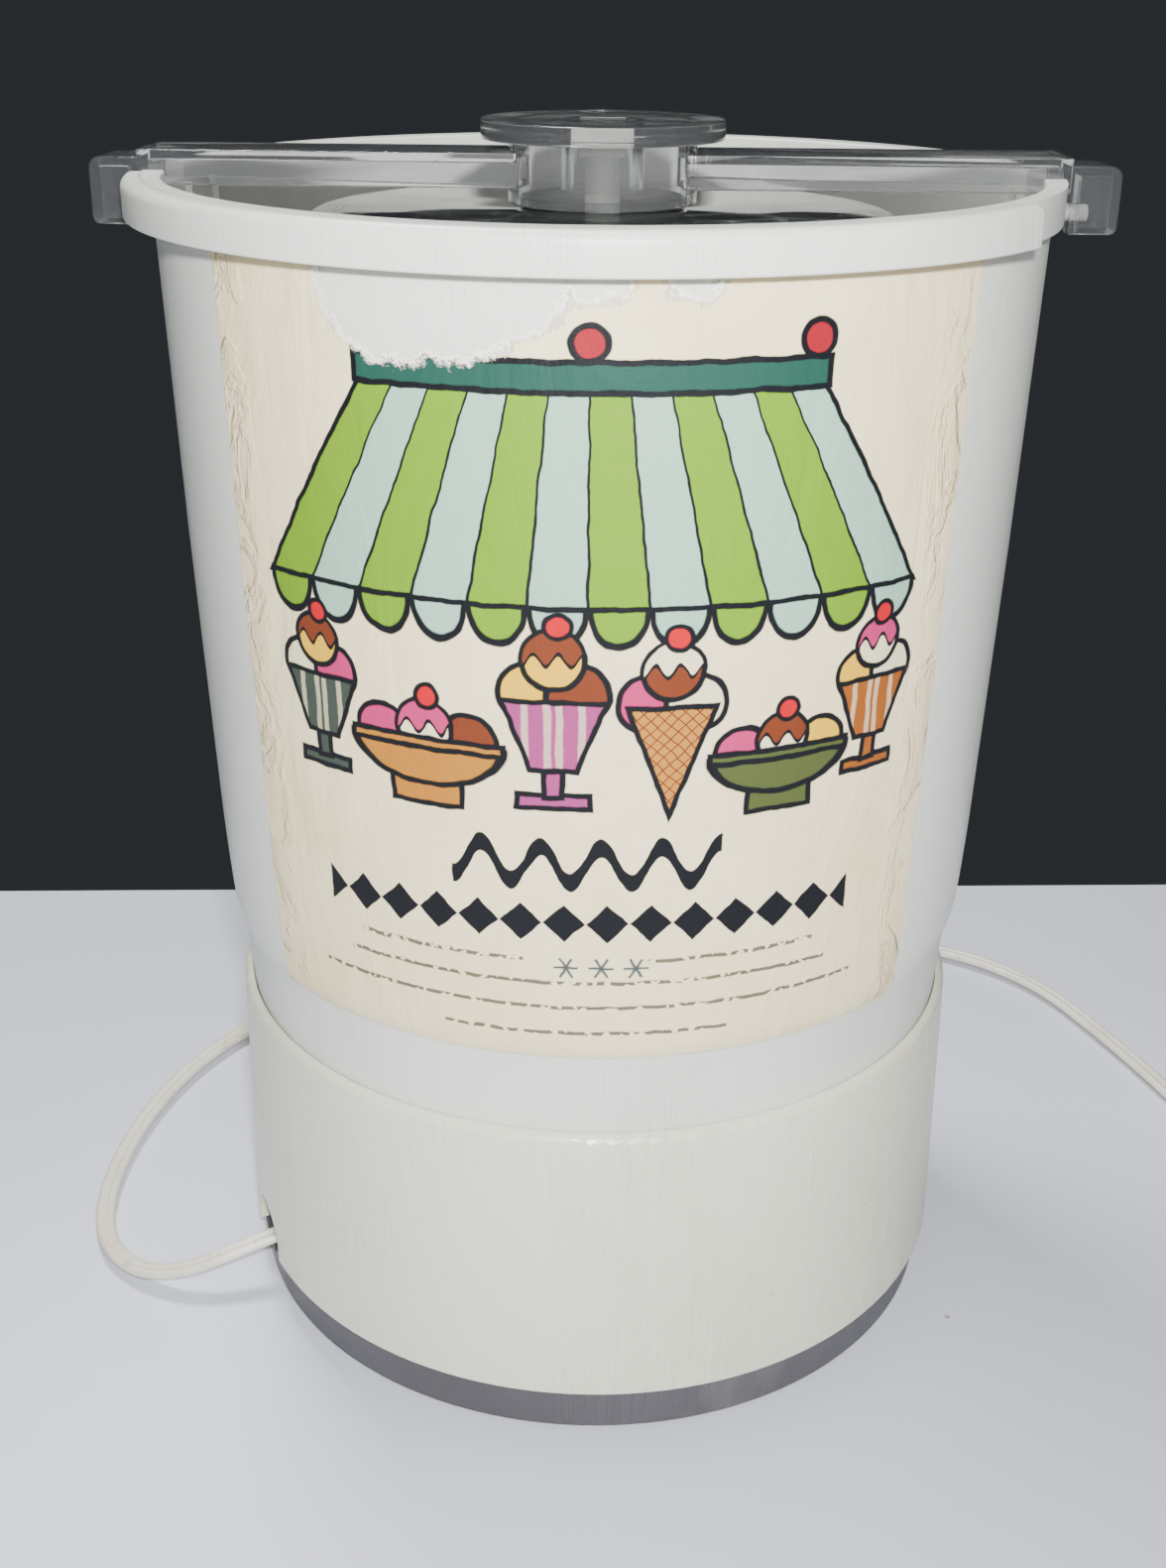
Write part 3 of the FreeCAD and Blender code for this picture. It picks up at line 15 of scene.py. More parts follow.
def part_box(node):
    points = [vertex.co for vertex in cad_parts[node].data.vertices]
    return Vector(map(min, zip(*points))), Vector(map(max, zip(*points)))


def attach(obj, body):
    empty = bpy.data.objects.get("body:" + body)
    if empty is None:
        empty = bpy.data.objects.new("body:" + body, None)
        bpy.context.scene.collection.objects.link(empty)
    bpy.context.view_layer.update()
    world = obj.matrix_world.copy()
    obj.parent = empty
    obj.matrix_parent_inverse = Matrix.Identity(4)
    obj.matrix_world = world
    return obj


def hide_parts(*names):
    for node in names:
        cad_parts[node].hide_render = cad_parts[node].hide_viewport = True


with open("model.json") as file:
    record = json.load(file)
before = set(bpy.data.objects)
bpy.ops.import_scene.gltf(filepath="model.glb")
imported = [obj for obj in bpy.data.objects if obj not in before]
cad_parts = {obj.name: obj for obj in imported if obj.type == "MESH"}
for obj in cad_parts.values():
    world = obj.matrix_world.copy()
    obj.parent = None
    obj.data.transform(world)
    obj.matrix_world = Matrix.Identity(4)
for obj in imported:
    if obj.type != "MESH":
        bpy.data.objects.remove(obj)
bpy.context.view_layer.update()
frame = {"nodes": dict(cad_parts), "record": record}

bl_info = {
    "name": "Ice Cream Maker",
    "version": (1, 0, 0),
    "blender": (4, 5, 0),
    "location": "View3D > Sidebar > Ice Cream Maker",
    "description": "Builds the pieces and finishes of an electric ice cream maker",
    "category": "Add Mesh",
}

MM = 0.001
FULL_TURN = 2 * math.pi
TOUCHING = 1e-6


# ---------------------------------------------------------------- shader maths

class Value:
    """One output of a material's nodes, with arithmetic on it."""

    def __init__(self, finish, socket):
        self.finish = finish
        self.socket = socket

    def maths(self, operation, *others, clamp=False):
        return self.finish.add("Math", {"operation": operation, "use_clamp": clamp},
                               dict(enumerate((self, *others))))

    def __add__(self, other):
        return self.maths("ADD", other)

    __radd__ = __add__

    def __mul__(self, other):
        return self.maths("MULTIPLY", other)

    __rmul__ = __mul__

    def __sub__(self, other):
        return self.maths("SUBTRACT", other)

    def __rsub__(self, other):
        return (self * -1.0) + other

    def __truediv__(self, other):
        return self.maths("DIVIDE", other)

    def __abs__(self):
        return self.maths("ABSOLUTE")

    def below(self, limit, soft):
        """One where the value is under a limit, nought above it, with a soft step between."""
        return ((limit - self) / soft + 0.5).maths("ADD", 0.0, clamp=True)

    def above(self, limit, soft):
        """The opposite of below."""
        return 1.0 - self.below(limit, soft)

    def least(self, other):
        return self.maths("MINIMUM", other)

    def most(self, other):
        return self.maths("MAXIMUM", other)


class Finish:
    """A material in the making: its node tree and its principled shader."""

    def __init__(self, name, constants=None):
        self.material = bpy.data.materials.new(name)
        self.material.use_nodes = True
        self.tree = self.material.node_tree
        self.tree.nodes.clear()
        self.shader = self.tree.nodes.new("ShaderNodeBsdfPrincipled")
        output = self.tree.nodes.new("ShaderNodeOutputMaterial")
        self.tree.links.new(self.shader.outputs[0], output.inputs["Surface"])
        for socket, constant in (constants or {}).items():
            self.shader.inputs[socket].default_value = constant

    def feed(self, socket, item):
        """Link a value to a socket, or set the socket."""
        if isinstance(item, Value):
            self.tree.links.new(item.socket, socket)
        else:
            socket.default_value = item

    def add(self, kind, settings=None, sockets=None, out=0):
        """Any node: its type, its settings, then the values or links of its sockets."""
        node = self.tree.nodes.new(f"ShaderNode{kind}")
        for name, setting in (settings or {}).items():
            setattr(node, name, setting)
        for name, item in (sockets or {}).items():
            self.feed(node.inputs[name], item)
        return Value(self, node.outputs[out])

    def surface(self, **inputs):
        """Feed the shader's colour, roughness, alpha and normal."""
        names = {"colour": "Base Color", "roughness": "Roughness", "alpha": "Alpha", "normal": "Normal"}
        for name, item in inputs.items():
            self.feed(self.shader.inputs[names[name]], item)
        return self.material

    def place(self, scale=(1.0, 1.0, 1.0), turn=(0.0, 0.0, 0.0)):
        """Object coordinates, scaled and turned."""
        coordinates = self.add("TexCoord", out=3)
        return self.add("Mapping", sockets={"Vector": coordinates, "Scale": scale, "Rotation": turn})

    def noise(self, where, scale, detail=3.0, roughness=0.55, distortion=0.0):
        return self.add("TexNoise", sockets={"Vector": where, "Scale": scale, "Detail": detail,
                                             "Roughness": roughness, "Distortion": distortion})

    def cells(self, where, scale):
        return self.add("TexVoronoi", sockets={"Vector": where, "Scale": scale})

    def spread(self, value, low, high, to_low=0.0, to_high=1.0):
        """Map a range of a value to another, clamped."""
        return self.add("MapRange", sockets={"Value": value, "From Min": low, "From Max": high,
                                             "To Min": to_low, "To Max": to_high})

    def blend(self, mask, first, second):
        """Mix two colours by a mask."""
        def full(colour):
            return (*colour, 1.0) if isinstance(colour, (tuple, list)) and len(colour) == 3 else colour
        return self.add("Mix", {"data_type": "RGBA"}, {0: mask, 6: full(first), 7: full(second)}, out=2)

    def bump(self, height, depth, strength=1.0):
        """A normal from a height field; depth is in metres."""
        return self.add("Bump", sockets={"Height": height, "Distance": depth, "Strength": strength})

    def scratches(self, scale=260.0):
        """Sparse hairline marks in a few directions."""
        fine = 0.004
        marks = None
        for index, turn in enumerate((0.3, 1.1, 2.3)):
            where = self.place(scale=(1.0, 0.03, 0.05), turn=(0.4 * index, 0.7 * index, turn))
            line = abs(self.noise(where, scale, detail=1.0) - 0.5).below(fine, fine)
            patch = self.noise(self.place(), 18.0 + 7.0 * index).above(0.56, 0.08)
            marks = line * patch if marks is None else marks.most(line * patch)
        return marks


# ---------------------------------------------------------------- mesh helpers

def lathe(mesh, outline, start=0.0, sweep=FULL_TURN, steps=192, rounded=None, closed=True):
    """Spin an outline of (radius, height) pairs in mm; rounded maps a corner to its radius.

    A closed outline runs back to its first corner. The steps are those of a full turn.
    """
    made = bmesh.new()
    corners = [made.verts.new((radius * MM, 0.0, height * MM)) for radius, height in outline]
    pairs = list(zip(corners, corners[1:] + corners[:1]))
    for first, second in pairs if closed else pairs[:-1]:
        made.edges.new((first, second))
    for index, radius in sorted((rounded or {}).items(), reverse=True):
        bmesh.ops.bevel(made, geom=[corners[index]], offset=radius * MM, offset_type="OFFSET",
                        segments=5, profile=0.5, affect="VERTICES", clamp_overlap=True, material=-1)
    full = abs(sweep - FULL_TURN) < TOUCHING
    bmesh.ops.rotate(made, verts=made.verts, cent=(0, 0, 0), matrix=Matrix.Rotation(start, 3, "Z"))
    section = made.verts[:] + made.edges[:]
    ends = bmesh.ops.spin(made, geom=section, cent=(0, 0, 0), axis=(0, 0, 1), angle=sweep,
                          steps=max(3, round(steps * sweep / FULL_TURN)), use_merge=full)
    if not full:
        first = [item for item in section if isinstance(item, bmesh.types.BMEdge)]
        last = [item for item in ends["geom_last"] if isinstance(item, bmesh.types.BMEdge)]
        for rim in (first, last):
            bmesh.ops.contextual_create(made, geom=rim)
    bmesh.ops.remove_doubles(made, verts=made.verts, dist=TOUCHING)
    join(mesh, made)


def join(mesh, made):
    """Recalculate a part's normals outwards and add it to the piece."""
    bmesh.ops.recalc_face_normals(made, faces=made.faces)
    carrier = bpy.data.meshes.new("part")
    made.to_mesh(carrier)
    made.free()
    mesh.from_mesh(carrier)
    bpy.data.meshes.remove(carrier)


def piece(name, mesh, material, body, replaced=(), smooth=30.0):
    """Turn a bmesh into a finished piece that rides on a body."""
    data = bpy.data.meshes.new(name)
    mesh.to_mesh(data)
    mesh.free()
    data.materials.append(material)
    made = bpy.data.objects.new(name, data)
    bpy.context.scene.collection.objects.link(made)
    data.polygons.foreach_set("use_smooth", [True] * len(data.polygons))
    data.set_sharp_from_angle(angle=math.radians(smooth))
    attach(made, body)
    if replaced:
        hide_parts(*replaced)
    return made


# ---------------------------------------------------------------- finishes

def moulded_plastic(name, colour, tint, roughness, stain, sub=0.0, dirt=0.5):
    """Injection-moulded plastic: cloudy tone, fine grain, specks and hairline scratches."""
    finish = Finish(name, {"IOR": 1.5, "Subsurface Weight": sub, "Subsurface Scale": 0.01})
    where = finish.place()
    clouds = finish.spread(finish.noise(where, 9.0, detail=4.0), 0.35, 0.68)
    tone = finish.blend(clouds, colour, tint)
    specks = finish.cells(where, 55.0).below(0.045, 0.02)
    sparse = finish.noise(where, 12.0, detail=2.0).above(0.57, 0.05)
    smears = finish.noise(finish.place(scale=(1.0, 1.0, 0.35)), 26.0, detail=6.0, roughness=0.7)
    grime = smears.above(0.60, 0.14) * 0.35 * dirt
    marks = finish.scratches()
    tone = finish.blend((specks * sparse * dirt).most(grime), tone, stain)
    tone = finish.blend(marks * 0.35, tone, tuple(min(1.0, part * 1.12) for part in colour))
    grain = finish.noise(where, 900.0, detail=2.0)
    wave = finish.noise(where, 28.0, detail=2.0)
    height = grain * 0.06 + wave * 0.5 - marks * 0.5
    gloss = finish.spread(smears, 0.3, 0.75, roughness - 0.06, roughness + 0.1) + marks * 0.15
    return finish.surface(colour=tone, roughness=gloss, normal=finish.bump(height, 0.00012))


def clear_styrene(name, colour, tint, clearness, bend=1.57, ripple=0.0005):
    """Clear moulded styrene gone slightly cloudy: scuffs and flow marks on a glassy body."""
    finish = Finish(name, {"IOR": bend, "Transmission Weight": clearness})
    where = finish.place()
    marks = finish.scratches(scale=220.0)
    flow = finish.noise(where, 26.0, detail=1.0)
    haze = finish.noise(where, 60.0, detail=4.0)
    tone = finish.blend(finish.spread(haze, 0.35, 0.7), colour, tint)
    rough = haze.above(0.55, 0.2) * 0.05 + marks * 0.12 + 0.02
    return finish.surface(colour=tone, roughness=rough, normal=finish.bump(flow, ripple, 0.5))


def shade_darkened_aluminium(name):
    """Drawn aluminium given a dark grey colour as painted shade: rings from the press, blooms of oxide and
    scratches.
    """
    finish = Finish(name, {"Metallic": 1.0})
    where = finish.place()
    rings = finish.noise(finish.place(scale=(0.2, 0.2, 9.0)), 60.0, detail=3.0)
    bloom = finish.noise(where, 24.0, detail=6.0, roughness=0.65)
    marks = finish.scratches()
    # painted shade: both greys are far darker than aluminium so the can reads as shaded; the mix between
    # them follows the oxide blooms
    tone = finish.blend(finish.spread(bloom, 0.38, 0.66), (0.10, 0.103, 0.105), (0.18, 0.18, 0.18))
    tone = finish.blend(marks * 0.4, tone, (0.45, 0.45, 0.45))
    rough = finish.spread(bloom, 0.3, 0.7, 0.30, 0.52)
    return finish.surface(colour=tone, roughness=rough, normal=finish.bump(rings + marks, 0.00005))


def plain_metal(name, colour, tint, roughness):
    """A plated or cast metal with brushed grain and dull spots."""
    finish = Finish(name, {"Metallic": 1.0})
    where = finish.place()
    brushed = finish.noise(finish.place(scale=(12.0, 1.0, 1.0)), 150.0, detail=3.0)
    spots = finish.noise(where, 80.0, detail=5.0)
    tone = finish.blend(finish.spread(spots, 0.35, 0.7), colour, tint)
    rough = finish.spread(spots, 0.3, 0.7, roughness - 0.08, roughness + 0.14)
    return finish.surface(colour=tone, roughness=rough, normal=finish.bump(brushed + spots, 0.00004))


def copper_winding(name):
    """Taped copper wire: close turns that show as fine ridges, with painted shade in the grooves between
    turns and painted highlight on them.
    """
    finish = Finish(name)
    where = finish.place()
    turns = finish.add("TexWave", {"bands_direction": "Z"}, {"Vector": where, "Scale": 320.0,
                                                             "Distortion": 0.6})
    age = finish.noise(where, 90.0, detail=4.0)
    # painted shade and highlight: dark copper in the grooves between turns, bright copper on their ridges
    tone = finish.blend(turns, (0.26, 0.09, 0.03), (0.62, 0.27, 0.10))
    tone = finish.blend(age.above(0.55, 0.2) * 0.6, tone, (0.12, 0.06, 0.03))
    return finish.surface(colour=tone, roughness=finish.spread(age, 0.3, 0.7, 0.3, 0.55),
                          normal=finish.bump(turns, 0.0002))


def cord_vinyl(name):
    """Ivory vinyl of a two-core cord: aged, with handling dirt."""
    finish = Finish(name)
    where = finish.place()
    age = finish.noise(where, 30.0, detail=4.0)
    dirt = finish.noise(where, 160.0, detail=5.0, roughness=0.7).above(0.60, 0.12)
    tone = finish.blend(finish.spread(age, 0.35, 0.7), (0.76, 0.73, 0.62), (0.66, 0.61, 0.48))
    tone = finish.blend(dirt * 0.4, tone, (0.36, 0.33, 0.27))
    skin = finish.noise(where, 700.0, detail=2.0)
    return finish.surface(colour=tone, roughness=finish.spread(age, 0.3, 0.7, 0.32, 0.48),
                          normal=finish.bump(skin, 0.00005))


INK = (0.006, 0.007, 0.009)
PAPER = (0.90, 0.78, 0.50)
LEAF, MINT = (0.15, 0.30, 0.012), (0.30, 0.47, 0.36)
CREAM, ROSE = (0.80, 0.70, 0.46), (0.48, 0.035, 0.14)
LEMON, COCOA = (0.72, 0.42, 0.03), (0.16, 0.035, 0.012)
CHERRY = (0.50, 0.008, 0.015)

# distances on the label, in mm
CRISP = 0.35
UNEVEN = 1.4
AWNING_FOOT, AWNING_TOP, AWNING_HALF = 125.0, 176.0, 84.0
SCALLOP = 14.0

# (across, rise) of the balls of ice over a glass or cone, and over a dish
PILE = ((-5.2, 27.0), (5.2, 27.0), (0.0, 34.5))
DISHFUL = ((-10.5, 16.5), (10.5, 16.5), (0.0, 19.0))

# middle, foot, scale, kind, colour of the vessel, colours of the ice, colour of the sauce
ICES = (
    (-70.0, 76.0, 0.98, "glass", (0.045, 0.06, 0.045), (CREAM, ROSE, LEMON), COCOA),
    (74.0, 77.0, 0.98, "glass", (0.30, 0.085, 0.012), (LEMON, CREAM, CREAM), ROSE),
    (-8.0, 74.0, 1.12, "glass", (0.32, 0.05, 0.18), (LEMON, COCOA, LEMON), COCOA),
    (20.0, 72.0, 1.10, "cone", (0.46, 0.20, 0.035), (ROSE, CREAM, COCOA), CREAM),
    (-40.0, 72.0, 1.08, "dish", (0.42, 0.17, 0.02), (ROSE, COCOA, CREAM), ROSE),
    (48.0, 71.0, 1.00, "dish", (0.07, 0.09, 0.025), (ROSE, LEMON, CREAM), COCOA),
)

# height, start and end of each row of dashes, from the middle outwards
DASHES = ((31.0, 16.0, 62.0), (24.5, 0.0, 66.0), (17.0, 0.0, 76.0), (9.0, 0.0, 38.0))

# middle and radius of each bite out of the upper edge
BITES = ((-44.0, 199.0, 17.5), (-29.0, 198.0, 15.5), (-17.0, 201.0, 12.5), (1.0, 203.0, 7.0),
         (22.0, 201.5, 5.0))


class LabelPrint(Finish):
    """Aged paper with a printed awning over a row of ices, torn at the top left.

    Places are in mm from the middle of the lower edge. A shape is its distance field: negative
    inside. Each one is painted over those before it.
    """

    def __init__(self, name, width, height):
        super().__init__(name, {"Specular IOR Level": 0.2})
        self.width = width
        sheet = self.add("UVMap", {"uv_map": "sheet"})
        self.x = self.add("SeparateXYZ", sockets={0: sheet}, out=0) * width - width / 2
        self.y = self.add("SeparateXYZ", sockets={0: sheet}, out=1) * height
        self.where = self.add("CombineXYZ", sockets={0: self.x, 1: self.y})
        self.px = self.x + (self.noise(self.where, 0.12, detail=2.0) - 0.5) * UNEVEN
        self.py = self.y + (self.noise(self.where, 0.15, detail=2.0) - 0.5) * UNEVEN
        self.stains = self.noise(self.where, 0.03, detail=5.0, roughness=0.6)
        self.fibres = self.noise(self.where, 1.6, detail=4.0, roughness=0.7)
        self.tone = self.blend(self.spread(self.stains, 0.35, 0.7), PAPER, (0.84, 0.69, 0.40))
        self.stamp(self.spread(self.fibres, 0.35, 0.75) * 0.2, (0.92, 0.84, 0.64))

    def stamp(self, mask, colour):
        """Lay a colour over the sheet by a mask."""
        self.tone = self.blend(mask, self.tone, colour)

    def paint(self, distance, colour, line=0.75):
        """Fill a shape and outline it in ink."""
        self.stamp(distance.below(0.0, CRISP), colour)
        self.stamp(abs(distance).below(line, CRISP), INK)

    def ring(self, dx, dy, radius):
        return (dx * dx + dy * dy).maths("SQRT") - radius

    def disc(self, cx, cy, radius):
        return self.ring(self.px - cx, self.py - cy, radius)

    def bar(self, cx, cy, half_x, half_y):
        return (abs(self.px - cx) - half_x).most(abs(self.py - cy) - half_y)

    def awning(self):
        """A striped awning with a scalloped edge, a rail and finials."""
        across, up = self.px, self.py
        half = AWNING_HALF - (up - AWNING_FOOT) * 0.62
        share = across / half * 6.0
        stripe = share.maths("FLOOR").maths("PINGPONG", 1.0)
        canopy = (abs(across) - half).most(AWNING_FOOT - up).most(up - AWNING_TOP)
        self.paint(canopy, self.blend(stripe, LEAF, MINT))
        seam = abs(share.maths("FRACT") - 0.5).above(0.47, 0.02)
        self.stamp(seam * canopy.below(0.0, CRISP), INK)
        cell = ((across / SCALLOP).maths("FRACT") - 0.5) * SCALLOP
        drop = up - AWNING_FOOT
        scallop = (cell * cell + drop * drop * 0.55).maths("SQRT") - 6.5
        scallop = scallop.most(abs(across) - (AWNING_HALF - 0.5)).most(drop - 0.5)
        turn = (across / SCALLOP).maths("FLOOR").maths("PINGPONG", 1.0)
        self.paint(scallop, self.blend(turn, LEAF, MINT))
        self.paint(self.bar(0.0, 179.0, 53.5, 3.4), (0.015, 0.07, 0.05))
        for finial in (-50.0, 0.0, 50.0):
            self.paint(self.disc(finial, 186.5, 4.0), (0.30, 0.01, 0.02))

    def scoops(self, middle, base, scale, places, colours, sauce):
        """Balls of ice under a poured sauce, with a cherry on the highest."""
        for (across, rise), colour in zip(places, colours):
            self.paint(self.disc(middle + across * scale, base + rise * scale, 6.6 * scale), colour)
        across, rise = places[-1]
        top = base + rise * scale
        drip = ((self.px - middle) * 1.1).maths("SINE") * 1.6 + top
        poured = self.disc(middle + across * scale, top, 6.8 * scale).most(drip - self.py)
        self.paint(poured, sauce, line=0.55)
        cherry = self.disc(middle + (across + 1.0) * scale, top + 7.6 * scale, 2.8 * scale)
        self.paint(cherry, CHERRY, line=0.6)

    def ices(self):
        """Ices in footed glasses, dishes and a cone."""
        for middle, base, scale, kind, vessel, colours, sauce in ICES:
            up = (self.py - base) / scale
            across = abs(self.px - middle) / scale
            if kind == "glass":
                self.paint(((across - 8.0).most(abs(up - 1.6) - 1.6)) * scale, vessel)
                self.paint(((across - 2.0).most(abs(up - 6.0) - 3.4)) * scale, vessel)
                cup = (across - 5.0 - (up - 9.0) * 0.38).most(up - 25.0).most(9.0 - up)
                self.scoops(middle, base, scale, PILE, colours, sauce)
                flutes = (across * 1.3).maths("SINE").above(0.55, 0.3) * 0.5
                self.paint(cup * scale, self.blend(flutes, vessel, CREAM))
            elif kind == "cone":
                self.scoops(middle, base, scale, PILE, colours, sauce)
                cup = (across - up * 0.37).most(up - 26.0)
                rising = abs(((self.px + self.py) * 0.95).maths("SINE"))
                falling = abs(((self.px - self.py) * 0.95).maths("SINE"))
                wafer = rising.least(falling).below(0.22, 0.1)
                self.paint(cup * scale, self.blend(wafer, vessel, COCOA))
            else:
                self.scoops(middle, base, scale, DISHFUL, colours, sauce)
                depth = up - 15.0
                bowl = (across * across * 0.30 + depth * depth).maths("SQRT") - 10.0
                rim = (across - 18.5).most(abs(up - 15.0) - 1.2)
                self.paint(((across - 8.5).most(abs(up - 3.0) - 3.0)) * scale, vessel)
                self.paint(bowl.most(depth) * scale, vessel)
                self.paint(rim * scale, vessel)

    def ornament(self):
        """A waved ribbon, lozenges, stars and rows of dashes."""
        px, py = self.px, self.py
        ribbon = abs((px * 0.42).maths("SINE") * 5.0 + 58.5 - py) - 2.6
        self.stamp(ribbon.most(abs(px) - 34.0).below(0.0, CRISP), INK)
        beads = ((px / 11.0).maths("FRACT") - 0.5) * 11.0
        lozenge = (abs(beads) + abs(py - 42.0) - 5.4).most(abs(px) - 71.5)
        self.stamp(lozenge.below(0.0, CRISP), INK)
        for middle in (-5.0, 4.0, 13.0):
            dx = px - middle
            dy = py - 29.0
            reach = (dx * dx + dy * dy).maths("SQRT")
            arm = (dy.maths("ARCTAN2", dx) * 3.0).maths("SINE")
            star = (abs(arm) * reach * 0.33 - 0.32).most(reach - 3.2)
            self.stamp(star.below(0.0, CRISP), (0.05, 0.07, 0.08))
        for row, inner, reach in DASHES:
            broken = self.noise(self.where, 0.35 + 0.01 * row, detail=0.0).above(0.42, 0.02)
            dash = (abs(py - row) - 0.55).most(abs(px) - reach).most(inner - abs(px))
            self.stamp(dash.below(0.0, CRISP) * broken * 0.85, INK)

    def aged(self):
        """Creased sides with painted shade in the creases, the torn upper edge and the sheet's relief."""
        x, y = self.x, self.y
        side = abs(x).above(self.width / 2 - 9.0, 10.0)
        tall = self.add("Mapping", sockets={"Vector": self.where, "Scale": (1.0, 0.45, 1.0)})
        puckers = self.noise(tall, 0.07, detail=6.0, roughness=0.65, distortion=1.2)
        crease_relief_and_shade = side * puckers.above(0.52, 0.08)
        # painted shade: the creases at the sides are darkened brown
        self.stamp(crease_relief_and_shade * 0.45, (0.60, 0.50, 0.34))
        rag = (self.noise(self.where, 0.22, detail=6.0, roughness=0.65) - 0.5) * 9.0
        fine = (self.noise(self.where, 1.1, detail=4.0) - 0.5) * 2.2
        tear = None
        for cx, cy, radius in BITES:
            gap = self.ring(x - cx, y - cy, radius)
            tear = gap if tear is None else tear.least(gap)
        tear = tear + rag + fine
        edge = (self.width / 2 - 0.8 - abs(x)).least(y - 0.6) + fine * 0.4
        kept = tear.above(0.0, 0.4) * edge.above(0.0, 0.4)
        core = tear.below(1.6, 1.2)
        self.stamp(core, (0.90, 0.87, 0.78))
        taller = self.add("Mapping", sockets={"Vector": self.where, "Scale": (1.0, 0.35, 1.0)})
        folds = self.noise(taller, 0.05, detail=5.0, distortion=1.5)
        relief = folds * 1.0 + crease_relief_and_shade * 0.8 + self.fibres * 0.08 - core * 0.6
        return self.surface(colour=self.tone, roughness=self.spread(self.stains, 0.3, 0.7, 0.42, 0.6),
                            alpha=kept, normal=self.bump(relief, 0.0012, 0.8))


def printed_label(name, width, height):
    """The label's paper and print, for a sheet of a width and height in mm."""
    label = LabelPrint(name, width, height)
    label.awning()
    label.ices()
    label.ornament()
    return label.aged()


FINISHES = {
    "dark_plastic": lambda: moulded_plastic("dark_tray_plastic", (0.062, 0.060, 0.066),
                                            (0.085, 0.082, 0.092), 0.5, (0.22, 0.21, 0.20), dirt=0.7),
    "cream_plastic": lambda: moulded_plastic("cream_housing_plastic", (0.73, 0.72, 0.58), (0.69, 0.68, 0.54),
                                             0.26, (0.36, 0.30, 0.20), sub=0.03, dirt=0.35),
    "bucket_plastic": lambda: moulded_plastic("bucket_polyethylene", (0.76, 0.77, 0.70), (0.71, 0.725, 0.66),
                                              0.36, (0.42, 0.40, 0.34), sub=0.08, dirt=0.35),
    "white_plastic": lambda: moulded_plastic("dasher_plastic", (0.82, 0.80, 0.70), (0.77, 0.75, 0.64), 0.20,
                                             (0.45, 0.40, 0.30), sub=0.05, dirt=0.3),
    "nylon": lambda: moulded_plastic("natural_nylon", (0.74, 0.71, 0.60), (0.68, 0.64, 0.52), 0.42,
                                     (0.30, 0.26, 0.18), sub=0.05),
    "foot_rubber": lambda: moulded_plastic("foot_rubber", (0.035, 0.035, 0.035), (0.055, 0.052, 0.05), 0.75,
                                           (0.16, 0.15, 0.14)),
    "clear_plastic": lambda: clear_styrene("clear_styrene", (0.84, 0.85, 0.87), (0.76, 0.775, 0.79), 0.965),
    # painted shade: the grey tint darkens the clear lid to stand for the shaded can seen through it
    "lid_plastic": lambda: clear_styrene("shade_tinted_styrene", (0.42, 0.44, 0.44), (0.36, 0.38, 0.38), 0.96,
                                         bend=1.12, ripple=0.002),
    "can_aluminium": lambda: shade_darkened_aluminium("shade_darkened_aluminium"),
    "screw_steel": lambda: plain_metal("plated_steel", (0.52, 0.52, 0.53), (0.40, 0.40, 0.41), 0.34),
    "case_metal": lambda: plain_metal("zinc_casting", (0.40, 0.41, 0.42), (0.30, 0.31, 0.32), 0.48),
    "lamination": lambda: plain_metal("lamination_steel", (0.26, 0.27, 0.29), (0.20, 0.16, 0.13), 0.44),
    "bronze": lambda: plain_metal("bearing_bronze", (0.62, 0.44, 0.20), (0.48, 0.32, 0.14), 0.36),
    "winding": lambda: copper_winding("copper_winding"),
    "cord_plastic": lambda: cord_vinyl("cord_vinyl"),
}
made_finishes = {}


def finish_for(slot):
    """The material of a record slot, made once."""
    if slot not in made_finishes:
        made_finishes[slot] = FINISHES[slot]()
    return made_finishes[slot]


# ---------------------------------------------------------------- settings

class BucketSettings(bpy.types.PropertyGroup):
    """Sizes of the bucket's rim."""
    rim_top: bpy.props.FloatProperty(name="Rim top", description="Height of the rim", default=337.3 * MM,
                                     subtype="DISTANCE")
    rim_radius: bpy.props.FloatProperty(name="Rim radius", description="Outer radius of the rim band",
                                        default=127.0 * MM, subtype="DISTANCE")
    band_start: bpy.props.FloatProperty(name="Band start", description="Angle at which a rim band starts",
                                        default=math.radians(8.0), subtype="ANGLE")
    band_sweep: bpy.props.FloatProperty(name="Band sweep", description="Angle that a rim band covers",
                                        default=math.radians(137.3), subtype="ANGLE")


class LabelSettings(bpy.types.PropertyGroup):
    """Sizes of the paper label."""
    bottom: bpy.props.FloatProperty(name="Bottom", description="Height of the lower edge",
                                    default=126.3 * MM, subtype="DISTANCE")
    top: bpy.props.FloatProperty(name="Top", description="Height of the upper edge",
                                 default=326.7 * MM, subtype="DISTANCE")
    sweep: bpy.props.FloatProperty(name="Sweep", description="Angle that the label covers",
                                   default=math.radians(98.6), subtype="ANGLE")


class CordSettings(bpy.types.PropertyGroup):
    """Sizes of the mains cord."""
    width: bpy.props.FloatProperty(name="Width", description="Width of the flat cord",
                                   default=6.25 * MM, subtype="DISTANCE")
    thickness: bpy.props.FloatProperty(name="Thickness", description="Thickness of one core",
                                       default=3.3 * MM, subtype="DISTANCE")
    coil_radius: bpy.props.FloatProperty(name="Coil radius", description="Radius of the outer turns",
                                         default=34.9 * MM, subtype="DISTANCE")
    inner_radius: bpy.props.FloatProperty(name="Inner radius", description="Radius of the inner turns",
                                          default=28.4 * MM, subtype="DISTANCE")


